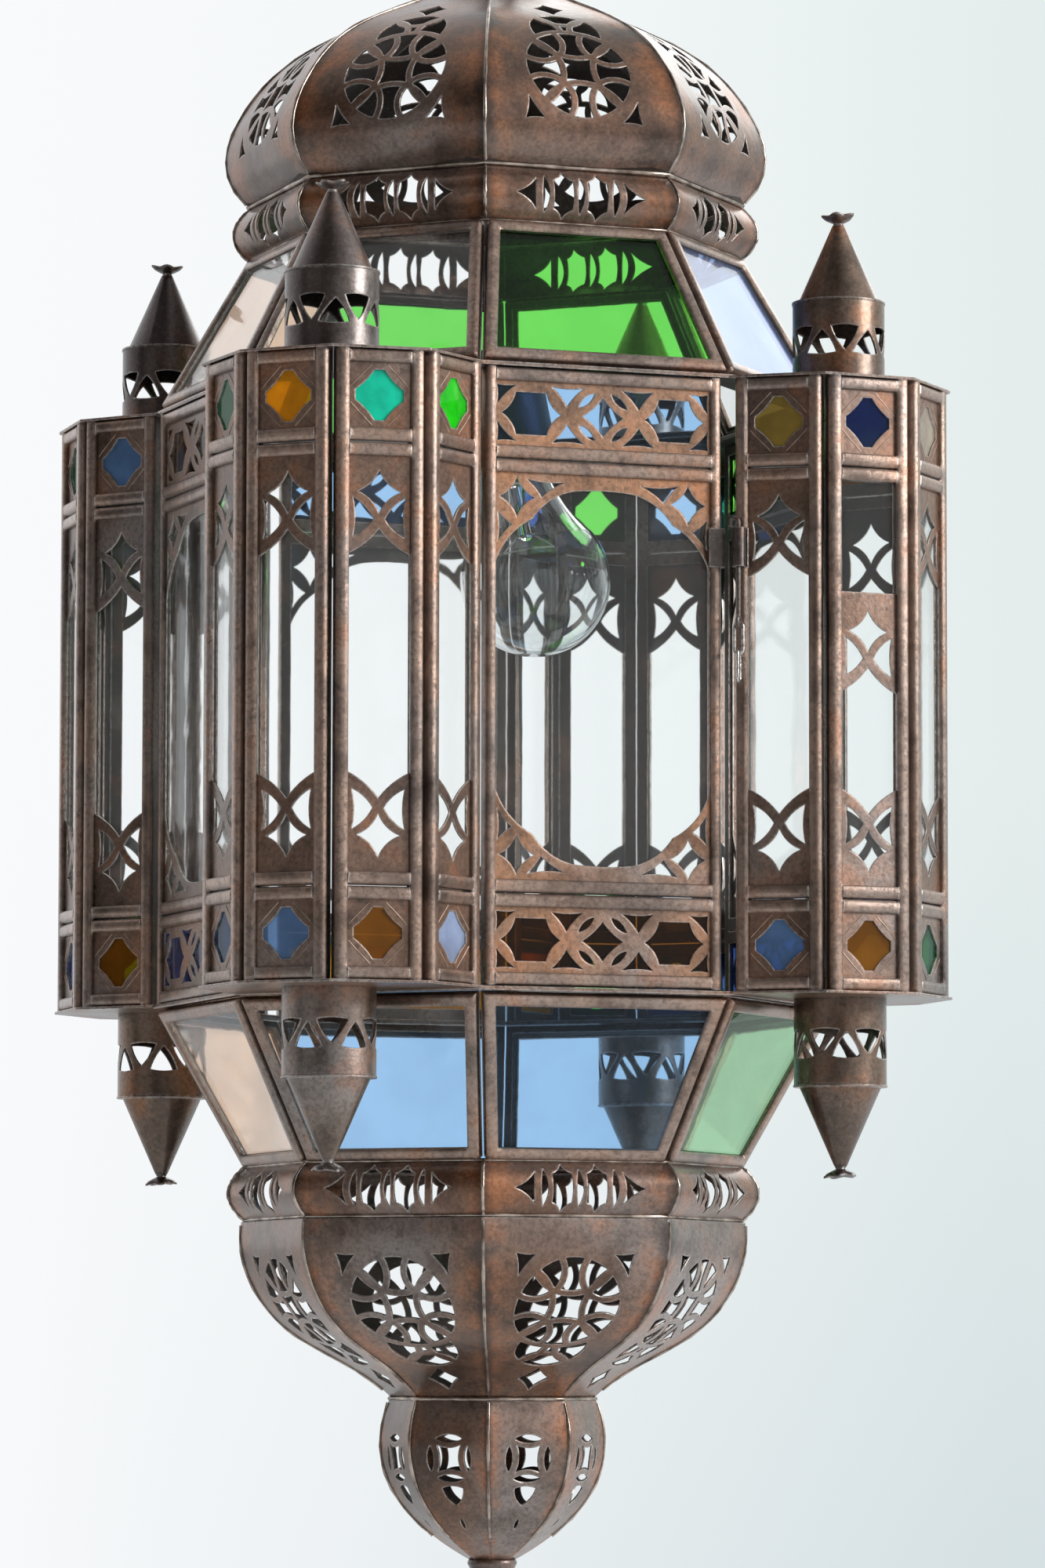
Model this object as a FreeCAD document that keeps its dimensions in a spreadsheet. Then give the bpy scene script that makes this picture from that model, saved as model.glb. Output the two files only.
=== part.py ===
import FreeCAD, Part
import math
import os
from FreeCAD import Placement, Rotation, Vector

# Hanging pierced-metal lantern with coloured panes, in millimetres and degrees.
# The origin is the centre of the hanging loop, +Z is up and the door faces -Y.

SIZES = [
    ("core_radius", 131.0, "corner radius of the eight-sided body"),
    ("tower_turn", 41.0, "turn from one tower panel to the next"),
    ("tower_standoff", 2.2, "towers stand this far out from the body's faces"),
    ("body_height", 234.0, "height of the framed panels"),
    ("band_height", 34.5, "height of the coloured bands above and below the windows"),
    ("rail_seam", 0.4, "slit between two neighbouring rails"),
    ("rail_width", 5.0, "face width of the cross rails"),
    ("tower_stile", 5.0, "face width of the tower panels' uprights"),
    ("side_stile", 4.2, "face width of the flat faces' uprights"),
    ("bead_depth", 2.0, "metal in front of the came's slot"),
    ("slot_depth", 2.7, "width of the came's slot"),
    ("lip_depth", 0.6, "metal behind the came's slot"),
    ("lip_width", 1.6, "how far the slot goes into the came"),
    ("outer_round", 1.9, "rounding of the came's outer front edge"),
    ("inner_round", 1.2, "rounding of the came's inner front edge"),
    ("sheet_thickness", 0.6, "pierced sheet in the panels"),
    ("sheet_slip", 44.0, "how far one window sheet has slipped down in its frame"),
    ("pane_thickness", 1.9, "glass panes"),
    ("pane_play", 0.1, "play of a sheet or pane in its slot"),
    ("seam_play", 0.3, "gap between neighbouring frames"),
    ("joint_play", 0.1, "gap between soldered tiers"),
    ("door_hinge_gap", 1.2, "gap between the body's corner and the door on the hinge side"),
    ("door_latch_gap", 3.5, "gap between the body's corner and the door on the latch side"),
    ("door_play", 0.4, "gap above and below the door"),
    ("pivot_radius", 1.25, "door pivots"),
    ("pivot_play", 0.05, "radial play of the pivots in the hoops"),
    ("pivot_inset", 2.3, "pivot axis from the door's hinge edge"),
    ("hoop_thickness", 1.5, "eight-sided hoops above and below the panels"),
    ("hoop_width", 12.0, "radial width of the hoops"),
    ("slope_bar", 4.8, "bars of the glass roof and of the glass funnel"),
    ("slope_depth", 4.4, "depth of those bars"),
    ("slope_rebate", 2.4, "depth of the rebate that holds their panes"),
    ("slope_round", 1.3, "rounding of those bars"),
    ("roof_height", 58.0, "height of the glass roof"),
    ("funnel_height", 60.5, "height of the glass funnel"),
    ("neck_radius", 97.0, "corner radius where the glass slopes meet the rings"),
    ("ring_height", 22.0, "height of the half-round pierced rings"),
    ("ring_bulge", 6.5, "how far the rings bulge"),
    ("skin_thickness", 0.7, "pierced sheet of rings, dome, bowl and finial"),
    ("gore_seam", 0.08, "gap between neighbouring gores"),
    ("dome_base", 90.0, "dome: mid-face radius at the base"),
    ("dome_swell", 98.9, "dome: largest mid-face radius"),
    ("dome_swell_height", 21.5, "dome: height of the largest radius"),
    ("dome_cheek", 92.4, "dome: mid-face radius between swell and shoulder"),
    ("dome_cheek_height", 38.5, "dome: height of that radius"),
    ("dome_shoulder", 77.6, "dome: mid-face radius at the shoulder"),
    ("dome_shoulder_height", 56.5, "dome: height of the shoulder"),
    ("dome_crown", 32.3, "dome: mid-face radius of the crown"),
    ("dome_crown_height", 80.5, "dome: height of the crown"),
    ("dome_top", 20.3, "dome: mid-face radius of the top opening"),
    ("dome_height", 87.0, "dome: height of the top opening"),
    ("bowl_rim", 91.3, "bowl: mid-face radius at the rim"),
    ("bowl_cheek", 91.0, "bowl: mid-face radius below the rim"),
    ("bowl_cheek_drop", 13.0, "bowl: depth of that radius"),
    ("bowl_waist", 75.5, "bowl: mid-face radius at mid height"),
    ("bowl_waist_drop", 41.0, "bowl: depth of that radius"),
    ("bowl_hip", 57.3, "bowl: mid-face radius above the foot"),
    ("bowl_hip_drop", 53.0, "bowl: depth of that radius"),
    ("bowl_foot", 37.0, "bowl: mid-face radius at the foot"),
    ("bowl_depth", 68.0, "bowl: depth"),
    ("finial_swell", 40.5, "finial: largest mid-face radius"),
    ("finial_swell_drop", 17.0, "finial: depth of the largest radius"),
    ("finial_end", 8.5, "finial: mid-face radius at its end"),
    ("finial_depth", 63.0, "finial: depth"),
    ("finial_star", 24.0, "finial: middle of the piercings below the top"),
    ("tip_length", 8.0, "turned tip of the finial"),
    ("dome_star", 21.5, "dome: rosettes begin this far from the base"),
    ("bowl_star", 15.0, "bowl: rosettes begin this far from the rim"),
    ("ornament_bar", 2.6, "width of the bars left between piercings"),
    ("rosette_radius", 21.0, "pierced rosettes of dome and bowl"),
    ("lobe_radius", 14.0, "smaller pierced lobe beside each rosette"),
    ("turret_place", 146.5, "turret axis from the lantern's axis"),
    ("turret_radius", 17.8, "turret galleries"),
    ("turret_wall", 0.8, "turret sheet"),
    ("turret_height", 33.0, "height of a turret gallery"),
    ("turret_base", 12.5, "solid band at the foot of a turret gallery"),
    ("arch_height", 10.0, "pierced arches of a turret gallery"),
    ("arch_count", 6, "arches round a turret gallery"),
    ("cone_overhang", 0.3, "rim under a cone is this much wider than its gallery"),
    ("cone_foot", 15.7, "radius of a cone above its rim"),
    ("cone_height", 31.0, "turret cones"),
    ("cone_tip", 2.4, "radius of a cone's top"),
    ("crimp_height", 2.2, "neck of a crimped tip above its cone"),
    ("crimp_width", 13.4, "spread of the flattened tip"),
    ("crimp_thickness", 2.6, "thickness of the flattened tip"),
    ("plate_thickness", 1.0, "tower roofs and floors"),
    ("plate_overhang", 0.2, "overhang of those plates over the frames"),
    ("cap_radius", 26.0, "crown cap"),
    ("cap_height", 12.0, "crown cap"),
    ("cap_seat", 86.4, "crown cap's edge above the dome's base"),
    ("cap_wall", 3.0, "crown cap"),
    ("nipple_radius", 4.0, "threaded tube through the crown"),
    ("nipple_head", 3.5, "head of the threaded tube"),
    ("nipple_drop", 15.0, "threaded tube below its seat in the crown cap"),
    ("loop_bore", 11.0, "inner radius of the hanging loop"),
    ("loop_rim", 5.0, "radial width of the hanging loop"),
    ("loop_thickness", 6.0, "thickness of the hanging loop"),
    ("loop_neck", 8.0, "neck under the hanging loop"),
    ("loop_neck_radius", 7.0, "neck under the hanging loop"),
    ("bulb_radius", 30.0, "lamp bulb"),
    ("bulb_wall", 0.8, "bulb glass"),
    ("bulb_neck", 13.2, "radius of the bulb's neck"),
    ("bulb_neck_height", 46.0, "neck above the bulb's centre"),
    ("bulb_drop", 66.5, "bulb's centre below the top of the panels"),
    ("screw_radius", 12.9, "bulb's screw cap, between the threads"),
    ("screw_height", 22.0, "bulb's screw cap"),
    ("thread_count", 4, "threads on the screw cap"),
    ("thread_depth", 0.7, "threads on the screw cap"),
    ("holder_play", 0.3, "gap between the threads and the lampholder"),
    ("holder_wall", 4.5, "wall of the lampholder's skirt"),
    ("holder_cap_height", 20.0, "lampholder's cap"),
    ("flex_radius", 1.9, "flex from the crown to the lampholder"),
    ("flex_play", 0.3, "gap at the ends of the flex"),
    ("bulb_offset", 15.8, "bulb's centre from the lantern's axis"),
    ("bulb_heading", -20.0, "direction of that offset"),
    ("bulb_tilt", 11.0, "lean of the lamp"),
    ("stem_length", 30.0, "glass stem inside the bulb"),
    ("stem_radius", 2.6, "glass stem inside the bulb"),
    ("flare_radius", 9.0, "foot of the glass stem"),
    ("filament_radius", 0.35, "lamp filament and its supports"),
    ("filament_spread", 11.0, "half the width of the filament"),
    ("filament_rise", 12.0, "height of the filament's supports"),
    ("clip_height", 15.0, "latch clips"),
    ("clip_thickness", 0.8, "latch clips"),
    ("clip_width", 5.6, "face width of the latch clips"),
    ("clip_drop", 58.0, "top of the latch clips below the top of the panels"),
    ("barrel_radius", 2.6, "barrel that holds the latch pin"),
    ("barrel_inset", 2.4, "latch pin's axis from the edge of the tower"),
    ("pin_radius", 0.8, "latch pin's wire"),
    ("pin_play", 0.05, "radial play of the latch pin in its barrel"),
    ("pin_rise", 2.0, "straight wire between the barrel and the hook"),
    ("pin_drop", 21.0, "latch pin below its barrel, to the eye's centre"),
    ("hook_radius", 1.6, "bend of the latch pin's hook"),
    ("hook_end", 1.6, "straight end of the hook"),
    ("eye_radius", 1.9, "eye of the latch pin"),
    ("link_radius", 0.6, "wire of the latch links"),
    ("link_bend", 1.7, "bend of the latch links"),
    ("link_length", 8.6, "straight sides of the latch links"),
    ("link_play", 0.2, "gap between linked wires at rest"),
]

SIDES = 8
HALF_FACE = math.radians(180 / SIDES)
TOWER_PANELS = (-2, -1, 0, 1, 2)
TOWER_AXES = {"tower_1": -135, "tower_2": -45, "tower_3": 45, "tower_4": 135}
DOOR_FACE = -90
FIXED_FACES = (180, 90, 0)
QUARTER = (1 - math.cos(math.pi / 4)) / math.sqrt(2)
HOLLOW = -0.11
SHALLOW = -0.05
CUT_REACH = 7.0
LOBE_LEAN = 0.15
SHOULDER_ANGLE = 30
BULB_COLLAR = 3.0
HOLDER_ROOM = 5.0
HOLDER_GAP = 0.5
HOLDER_NECK = 0.42
SLIPPED_TOWER = "tower_2"
SLIPPED_PANEL = 1

doc = FreeCAD.newDocument("lantern")
sheet = doc.addObject("Spreadsheet::Sheet", "sizes")
for row, (alias, value, note) in enumerate(SIZES, 1):
    sheet.set(f"A{row}", note)
    sheet.set(f"B{row}", str(value))
    sheet.setAlias(f"B{row}", alias)
doc.recompute()
nodes = []


def size(alias):
    return float(sheet.get(alias))


# Sizes that follow from the driving ones

TURN = math.radians(size("tower_turn"))
CAME = size("bead_depth") + size("slot_depth") + size("lip_depth")
FACE_WIDTH = 2 * size("core_radius") * math.sin(HALF_FACE)
APOTHEM = size("core_radius") * math.cos(HALF_FACE)
PITCH = FACE_WIDTH / (1 + 2 * math.cos(TURN) + 2 * math.cos(2 * TURN))
CORNER_TRIM = CAME / 2 * math.tan(TURN / 2) + size("seam_play") / 2
TOWER_WIDTH = PITCH - 2 * CORNER_TRIM
SIDE_WIDTH = FACE_WIDTH - 2 * CORNER_TRIM
DOOR_WIDTH = FACE_WIDTH - size("door_hinge_gap") - size("door_latch_gap")
DOOR_HEIGHT = size("body_height") - 2 * size("door_play")
NECK_APOTHEM = size("neck_radius") * math.cos(HALF_FACE)

Z_CAP_TOP = -(size("loop_bore") + size("loop_rim") + size("loop_neck"))
Z_CAP = Z_CAP_TOP - size("cap_height")
Z_DOME = Z_CAP - size("cap_seat")
Z_UPPER_RING = Z_DOME - size("joint_play") - size("ring_height")


def slope_angle(height):
    """Lean of the glass slopes, from the body's faces to the narrower rings."""
    return math.atan2(APOTHEM - NECK_APOTHEM, height)


def slope_rise(height):
    """How far a slope's tilted bars stand above and below its mid plane."""
    return size("slope_depth") / 2 * math.sin(slope_angle(height))


Z_ROOF_TOP = Z_UPPER_RING - size("joint_play")
Z_ROOF = Z_ROOF_TOP - size("roof_height")
Z_HOOP = Z_ROOF - slope_rise(size("roof_height")) - size("joint_play") - size("hoop_thickness")
Z_TOP = Z_HOOP
Z_BOTTOM = Z_TOP - size("body_height")
Z_LOWER_HOOP = Z_BOTTOM - size("hoop_thickness")
Z_FUNNEL_TOP = Z_LOWER_HOOP - size("joint_play") - slope_rise(size("funnel_height"))
Z_FUNNEL = Z_FUNNEL_TOP - size("funnel_height")
Z_LOWER_RING = Z_FUNNEL - size("joint_play") - size("ring_height")
Z_BOWL = Z_LOWER_RING - size("joint_play")
Z_FINIAL = Z_BOWL - size("bowl_depth") - size("joint_play")
Z_TIP = Z_FINIAL - size("finial_depth") - size("joint_play")


# Outlines: a point is (x, y, bulge), where the bulge bends the edge that follows it


def edge(start, end, bulge):
    first = Vector(start[0], start[1], 0)
    last = Vector(end[0], end[1], 0)
    if not bulge:
        return Part.LineSegment(first, last)
    along = last - first
    middle = (first + last) / 2 + Vector(along.y, -along.x, 0) * bulge
    return Part.Arc(first, middle, last)


def outline(points):
    return [edge(p, q, p[2]) for p, q in zip(points, points[1:] + points[:1])]


def flip(points, sx=1, sy=1):
    return [(sx * x, sy * y, sx * sy * b) for x, y, b in points]


def shift(points, dx, dy):
    return [(x + dx, y + dy, b) for x, y, b in points]


def rectangle(half_width, low, high):
    return [(-half_width, low, 0), (half_width, low, 0), (half_width, high, 0), (-half_width, high, 0)]


def diamond(half_width, half_height, bulge=HOLLOW):
    corners = [(half_width, 0), (0, half_height), (-half_width, 0), (0, -half_height)]
    return [(x, y, bulge) for x, y in corners]


def cusped_diamond(half_width, half_height, cut):
    right = [(half_width, -cut, 0), (half_width, cut, SHALLOW)]
    top = [(cut, half_height, 0), (-cut, half_height, SHALLOW)]
    left = [(-half_width, cut, 0), (-half_width, -cut, SHALLOW)]
    bottom = [(-cut, -half_height, 0), (cut, -half_height, SHALLOW)]
    return right + top + left + bottom


def hexagon(half_width, half_height, flat):
    right = [(half_width, 0, HOLLOW), (flat, half_height, 0)]
    left = [(-flat, half_height, HOLLOW), (-half_width, 0, HOLLOW)]
    return right + left + [(-flat, -half_height, 0), (flat, -half_height, HOLLOW)]


def triangle(first, second, third, bulge=HOLLOW):
    return [(*first, bulge), (*second, bulge), (*third, bulge)]


def lens(start, end, bulge=0.22):
    return [(*start, bulge), (*end, bulge)]


def four_ways(points):
    return [flip(points, sx, sy) for sx in (1, -1) for sy in (1, -1)]


def two_ways(points):
    return [flip(points, 1, sy) for sy in (1, -1)]


def face_of(points):
    return Part.Face(Part.Wire([e.toShape() for e in outline(points)]))


# Bodies made from sketches


def origin_feature(body, role):
    return [f for f in body.Origin.OriginFeatures if f.Role == role][0]


def new_body(name):
    return doc.addObject("PartDesign::Body", name)


def add_sketch(body, plane, outlines, offset=None):
    sketch = body.newObject("Sketcher::SketchObject", f"{body.Name}_sketch")
    sketch.AttachmentSupport = [(origin_feature(body, plane), "")]
    sketch.MapMode = "FlatFace"
    if offset:
        sketch.setExpression("AttachmentOffset.Base.z", offset)
    for points in outlines:
        sketch.addGeometry(outline(points))
    return sketch


def add_pad(body, sketch, length, backwards=False):
    pad = body.newObject("PartDesign::Pad", f"{body.Name}_pad")
    pad.Profile = sketch
    pad.Reversed = backwards
    pad.setExpression("Length", length)
    return pad


def add_pocket(body, sketch, length, backwards=False):
    doc.recompute()
    before = body.Shape.Volume
    pocket = body.newObject("PartDesign::Pocket", f"{body.Name}_pocket")
    pocket.Profile = sketch
    pocket.Reversed = backwards
    pocket.setExpression("Length", length)
    doc.recompute()
    if body.Shape.Volume >= before:
        raise ValueError(f"{body.Name}: the pocket cuts nothing")
    return pocket


def add_revolution(body, profiles):
    sketch = add_sketch(body, "XZ_Plane", profiles)
    revolution = body.newObject("PartDesign::Revolution", f"{body.Name}_revolution")
    revolution.Profile = sketch
    revolution.ReferenceAxis = (sketch, ["V_Axis"])
    revolution.Angle = 360
    return body


# Nodes: what is written to a file of its own


def node(obj, label, placement=None):
    obj.Label = label
    if placement:
        obj.Placement = placement
    nodes.append(obj)
    return obj


def placed(piece, placement):
    shape = piece.Shape.copy() if hasattr(piece, "Shape") else piece.copy()
    shape.Placement = placement.multiply(shape.Placement)
    return shape


def group(label, pieces):
    """One node of separate solids, each a placed copy of a piece."""
    doc.recompute()
    feature = doc.addObject("Part::Feature", label)
    feature.Shape = Part.makeCompound([placed(piece, placement) for piece, placement in pieces])
    return node(feature, label)


def at_height(z):
    return Placement(Vector(0, 0, z), Rotation())


def facing(angle, distance, z, across=0):
    """Puts a piece whose front looks to -Y on the side that the angle names."""
    turn = Rotation(Vector(0, 0, 1), angle - DOOR_FACE)
    return Placement(turn.multVec(Vector(across, -distance, z)), turn)


def on_came_plane(placement):
    """Moves a panel out so that its frame's middle lies on the placement's plane."""
    return placement.multiply(Placement(Vector(0, -CAME / 2, 0), Rotation()))


def tower_frames(axis):
    """The five panel places of a tower, from left to right seen from outside."""
    turn = Rotation(Vector(0, 0, 1), axis - DOOR_FACE)
    place = Vector(-FACE_WIDTH / 2, -(APOTHEM + size("tower_standoff")), 0)
    found = []
    for k in TOWER_PANELS:
        step = Vector(math.cos(k * TURN), math.sin(k * TURN), 0) * PITCH
        middle = turn.multVec(place + step / 2) + Vector(0, 0, Z_BOTTOM)
        panel_turn = turn.multiply(Rotation(Vector(0, 0, 1), math.degrees(k * TURN)))
        found.append(on_came_plane(Placement(middle, panel_turn)))
        place = place + step
    return found


def side_frame(angle):
    return on_came_plane(facing(angle, APOTHEM, Z_BOTTOM))


# Framed panels: two uprights and six rails of slotted came


def came_section(outer, width, sense, along_x):
    """Section of the slotted came, whose slot looks to its sense."""
    bead = size("bead_depth")
    slot = bead + size("slot_depth")
    outer_round = size("outer_round")
    inner_round = size("inner_round")
    bend = QUARTER * sense * (1 if along_x else -1)
    groove = width - size("lip_width")
    profile = [
        (0, CAME, 0),
        (0, outer_round, bend),
        (outer_round, 0, 0),
        (width - inner_round, 0, bend),
        (width, inner_round, 0),
        (width, bead, 0),
        (groove, bead, 0),
        (groove, slot, 0),
        (width, slot, 0),
        (width, CAME, 0),
    ]
    if along_x:
        return [(outer + sense * across, depth, b) for across, depth, b in profile]
    return [(depth, outer + sense * across, b) for across, depth, b in profile]


def rail_places(height):
    band = size("band_height")
    seam = size("rail_seam")
    lower = [(0, 1), (band, -1), (band + seam, 1)]
    upper = [(height - band - seam, -1), (height - band, 1), (height, -1)]
    return lower + upper


def openings(height):
    """Low and high edge of a panel's lower band, window and upper band."""
    rail = size("rail_width")
    places = [z + sense * rail for z, sense in rail_places(height)]
    return {"lower": places[0:2], "window": places[2:4], "upper": places[4:6]}


def ladder(name, width, height, stile, height_words):
    body = new_body(name)
    half = width / 2
    uprights = [came_section(-half, stile, 1, True), came_section(half, stile, -1, True)]
    rail = size("rail_width")
    rails = [came_section(z, rail, sense, False) for z, sense in rail_places(height)]
    add_pad(body, add_sketch(body, "XY_Plane", uprights), height_words)
    sketch = add_sketch(body, "YZ_Plane", rails)
    sketch.AttachmentOffset = Placement(Vector(0, 0, stile - half), Rotation())
    pad = body.newObject("PartDesign::Pad", f"{name}_rails")
    pad.Profile = sketch
    pad.Length = width - 2 * stile
    return body


def fill_size(low, high, half_width):
    """Outline of a sheet or pane that fills an opening and its slots."""
    reach = size("lip_width") - size("pane_play")
    return rectangle(half_width + reach, low - reach, high + reach)


def pierced_panel(name, half_width, limits, holes):
    low, high = limits
    middle = (low + high) / 2
    body = new_body(name)
    cuts = [shift(points, 0, middle) for points in holes(half_width, (high - low) / 2)]
    front = "-(sizes.bead_depth + sizes.pane_play / 2)"
    sketch = add_sketch(body, "XZ_Plane", [fill_size(low, high, half_width)] + cuts, front)
    add_pad(body, sketch, "sizes.sheet_thickness", True)
    return body


def plain_pane(name, half_width, limits):
    low, high = limits
    body = new_body(name)
    front = "-(sizes.bead_depth + sizes.pane_play + sizes.sheet_thickness)"
    sketch = add_sketch(body, "XZ_Plane", [fill_size(low, high, half_width)], front)
    add_pad(body, sketch, "sizes.pane_thickness", True)
    return body


# Piercings of the flat sheets, drawn about the middle of an opening


def tower_band_holes(half_width, half_height):
    return [cusped_diamond(half_width - 2.6, half_height - 2.8, 1.9)]


def tower_window_holes(half_width, half_height):
    """A hollow-sided gem over two crossing bars, at both ends of the window."""
    top = half_height
    edge_x = half_width - 1.8
    gem = shift(diamond(8.2, 8.0), 0, top - 13.4)
    ear = [(edge_x, top - 15.6, 0.08), (2.2, top - 23.6, 0.08), (edge_x, top - 30.4, -0.06)]
    upper = [(half_width, top - 36.8), (0, top - 27.2), (-half_width, top - 36.8)]
    lower = [(x, -y) for x, y in upper[::-1]]
    bends = (-0.06, -0.06, 0) * 2
    window = [(x, y, bend) for (x, y), bend in zip(upper + lower, bends)]
    return [window] + two_ways(gem) + four_ways(ear)


def side_band_holes(half_width, half_height):
    lobe = half_width - 14.6
    high = half_height - 1.6
    edge_x = half_width - 0.8
    gem = diamond(8.2, 7.4, SHALLOW)
    lobes = [shift(hexagon(12.0, 8.0, 6.2), sx * lobe, 0) for sx in (1, -1)]
    slit = lens((3.4, 9.0), (9.8, 3.4), 0.15)
    between = triangle((7.8, high), (14.6, 3.4), (lobe - 8.4, high), SHALLOW)
    corner = triangle((edge_x, high - 7.4), (edge_x, high), (edge_x - 7.6, high), SHALLOW)
    return [gem] + lobes + four_ways(slit) + four_ways(between) + four_ways(corner)


def side_window_holes(half_width, half_height):
    def from_corner(points):
        return [(half_width - x, half_height - y, b) for x, y, b in points]

    gem = from_corner(shift(diamond(7.1, 7.6), 8.9, 9.2))
    above = from_corner(triangle((12.9, 2.2), (28.2, 2.9), (18.8, 8.9), SHALLOW))
    beside = from_corner(triangle((1.2, 14.8), (7.0, 19.6), (1.2, 26.4), SHALLOW))
    quarter = from_corner([(0.4, 34.0, 0.1), (15.2, 17.2, 0.1), (31.5, 6.2, 0.06)])
    rounds = [quarter, flip(quarter, -1, 1), flip(quarter, -1, -1), flip(quarter, 1, -1)]
    opening = rounds[0] + rounds[1][::-1] + rounds[2] + rounds[3][::-1]
    bends = (0.1, 0.1, 0.03, 0.1, 0.1, 0) * 2
    opening = [(x, y, b) for (x, y, _), b in zip(opening, bends)]
    return [opening] + four_ways(gem) + four_ways(above) + four_ways(beside)


# Panels of the towers, the fixed flat faces and the door


def panel_kit(name, width, height, stile, height_words, band_holes, window_holes):
    """Frame, sheets and panes of one kind of panel, each made once."""
    half = width / 2 - stile
    limits = openings(height)
    kit = {"frame": ladder(f"{name}_frame", width, height, stile, height_words)}
    for place, holes in (("lower", band_holes), ("window", window_holes), ("upper", band_holes)):
        kit[f"{place}_sheet"] = pierced_panel(f"{name}_{place}_sheet", half, limits[place], holes)
        kit[f"{place}_pane"] = plain_pane(f"{name}_{place}_pane", half, limits[place])
    doc.recompute()
    return kit


tower = panel_kit(
    "tower_panel",
    TOWER_WIDTH,
    size("body_height"),
    size("tower_stile"),
    "sizes.body_height",
    tower_band_holes,
    tower_window_holes,
)
side = panel_kit(
    "side_panel",
    SIDE_WIDTH,
    size("body_height"),
    size("side_stile"),
    "sizes.body_height",
    side_band_holes,
    side_window_holes,
)
door = panel_kit(
    "door_panel",
    DOOR_WIDTH,
    DOOR_HEIGHT,
    size("side_stile"),
    "sizes.body_height - 2 * sizes.door_play",
    side_band_holes,
    side_window_holes,
)

window_low, window_high = openings(size("body_height"))["window"]
slipped_sheet = pierced_panel(
    "slipped_sheet",
    TOWER_WIDTH / 2 - size("tower_stile"),
    (window_low, window_high - size("sheet_slip")),
    tower_window_holes,
)
doc.recompute()

# Colours of the small band panes, from left to right on each tower
UPPER_BANDS = {
    "tower_1": ("amber", "teal", "amber", "teal", "green"),
    "tower_2": ("amber", "blue", "smoke", "green", "amber"),
    "tower_3": ("amber", "teal", "blue", "green", "blue"),
    "tower_4": ("green", "smoke", "amber", "teal", "blue"),
}
LOWER_BANDS = {
    "tower_1": ("green", "blue", "blue", "amber", "pale_blue"),
    "tower_2": ("blue", "amber", "green", "blue", "pale_blue"),
    "tower_3": ("amber", "blue", "pale_blue", "green", "amber"),
    "tower_4": ("blue", "green", "pale_blue", "blue", "amber"),
}
SIDE_BANDS = {180: ("amber", "blue"), 90: ("blue", "amber"), 0: ("green", "blue")}


def band_pane_places():
    """Every coloured band pane outside the door, by colour."""
    found = {}
    for name, axis in TOWER_AXES.items():
        for k, placement in enumerate(tower_frames(axis)):
            found.setdefault(UPPER_BANDS[name][k], []).append((tower["upper_pane"], placement))
            found.setdefault(LOWER_BANDS[name][k], []).append((tower["lower_pane"], placement))
    for angle, (upper, lower) in SIDE_BANDS.items():
        found.setdefault(upper, []).append((side["upper_pane"], side_frame(angle)))
        found.setdefault(lower, []).append((side["lower_pane"], side_frame(angle)))
    return found


def make_panels():
    window_panes = []
    for name, axis in TOWER_AXES.items():
        places = tower_frames(axis)
        group(f"{name}_frames", [(tower["frame"], p) for p in places])
        sheets = [(tower[f"{k}_sheet"], p) for p in places for k in ("lower", "upper")]
        for number, place in enumerate(places):
            slipped = name == SLIPPED_TOWER and number == SLIPPED_PANEL
            sheets.append((slipped_sheet if slipped else tower["window_sheet"], place))
        group(f"{name}_sheets", sheets)
        window_panes += [(tower["window_pane"], p) for p in places]
    places = [side_frame(angle) for angle in FIXED_FACES]
    group("side_frames", [(side["frame"], p) for p in places])
    group("side_sheets", [(side[f"{k}_sheet"], p) for p in places for k in ("lower", "window", "upper")])
    window_panes += [(side["window_pane"], p) for p in places]
    group("window_panes", window_panes)
    for colour, pieces in band_pane_places().items():
        group(f"band_panes_{colour}", pieces)


def door_place():
    across = -FACE_WIDTH / 2 + size("door_hinge_gap") + DOOR_WIDTH / 2
    return on_came_plane(facing(DOOR_FACE, APOTHEM, Z_BOTTOM + size("door_play"), across))


def pivot_place():
    return Vector(-FACE_WIDTH / 2 + size("door_hinge_gap") + size("pivot_inset"), -APOTHEM, 0)


def make_door():
    place = door_place()
    group("door_sheets", [(door[f"{k}_sheet"], place) for k in ("lower", "window", "upper")])
    for piece in ("frame", "window_pane", "upper_pane", "lower_pane"):
        node(door[piece], f"door_{piece}", place)
    pivot = doc.addObject("Part::Cylinder", "pivot")
    pivot.setExpression("Radius", "sizes.pivot_radius")
    pivot.setExpression("Height", "sizes.door_play + sizes.hoop_thickness")
    low = pivot_place() + Vector(0, 0, Z_LOWER_HOOP)
    high = pivot_place() + Vector(0, 0, Z_TOP - size("door_play"))
    group("door_pivots", [(pivot, Placement(p, Rotation())) for p in (low, high)])


# Hoops: flat eight-sided rings that carry the slopes and hold the door's pivots


def octagon(apothem):
    radius = apothem / math.cos(HALF_FACE)
    corners = [HALF_FACE + k * 2 * HALF_FACE for k in range(SIDES)]
    return [(radius * math.cos(a), radius * math.sin(a), 0) for a in corners]


def circle(x, y, radius):
    return [(x - radius, y, 0.5), (x + radius, y, 0.5)]


def make_hoop(label, z):
    body = new_body(label)
    hole = pivot_place()
    rings = [octagon(APOTHEM + CAME / 2), octagon(APOTHEM + CAME / 2 - size("hoop_width"))]
    pivot_hole = circle(hole.x, hole.y, size("pivot_radius") + size("pivot_play"))
    add_pad(body, add_sketch(body, "XY_Plane", rings + [pivot_hole]), "sizes.hoop_thickness")
    node(body, label, at_height(z))


# Glass roof and glass funnel: eight leaning frames each


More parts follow.
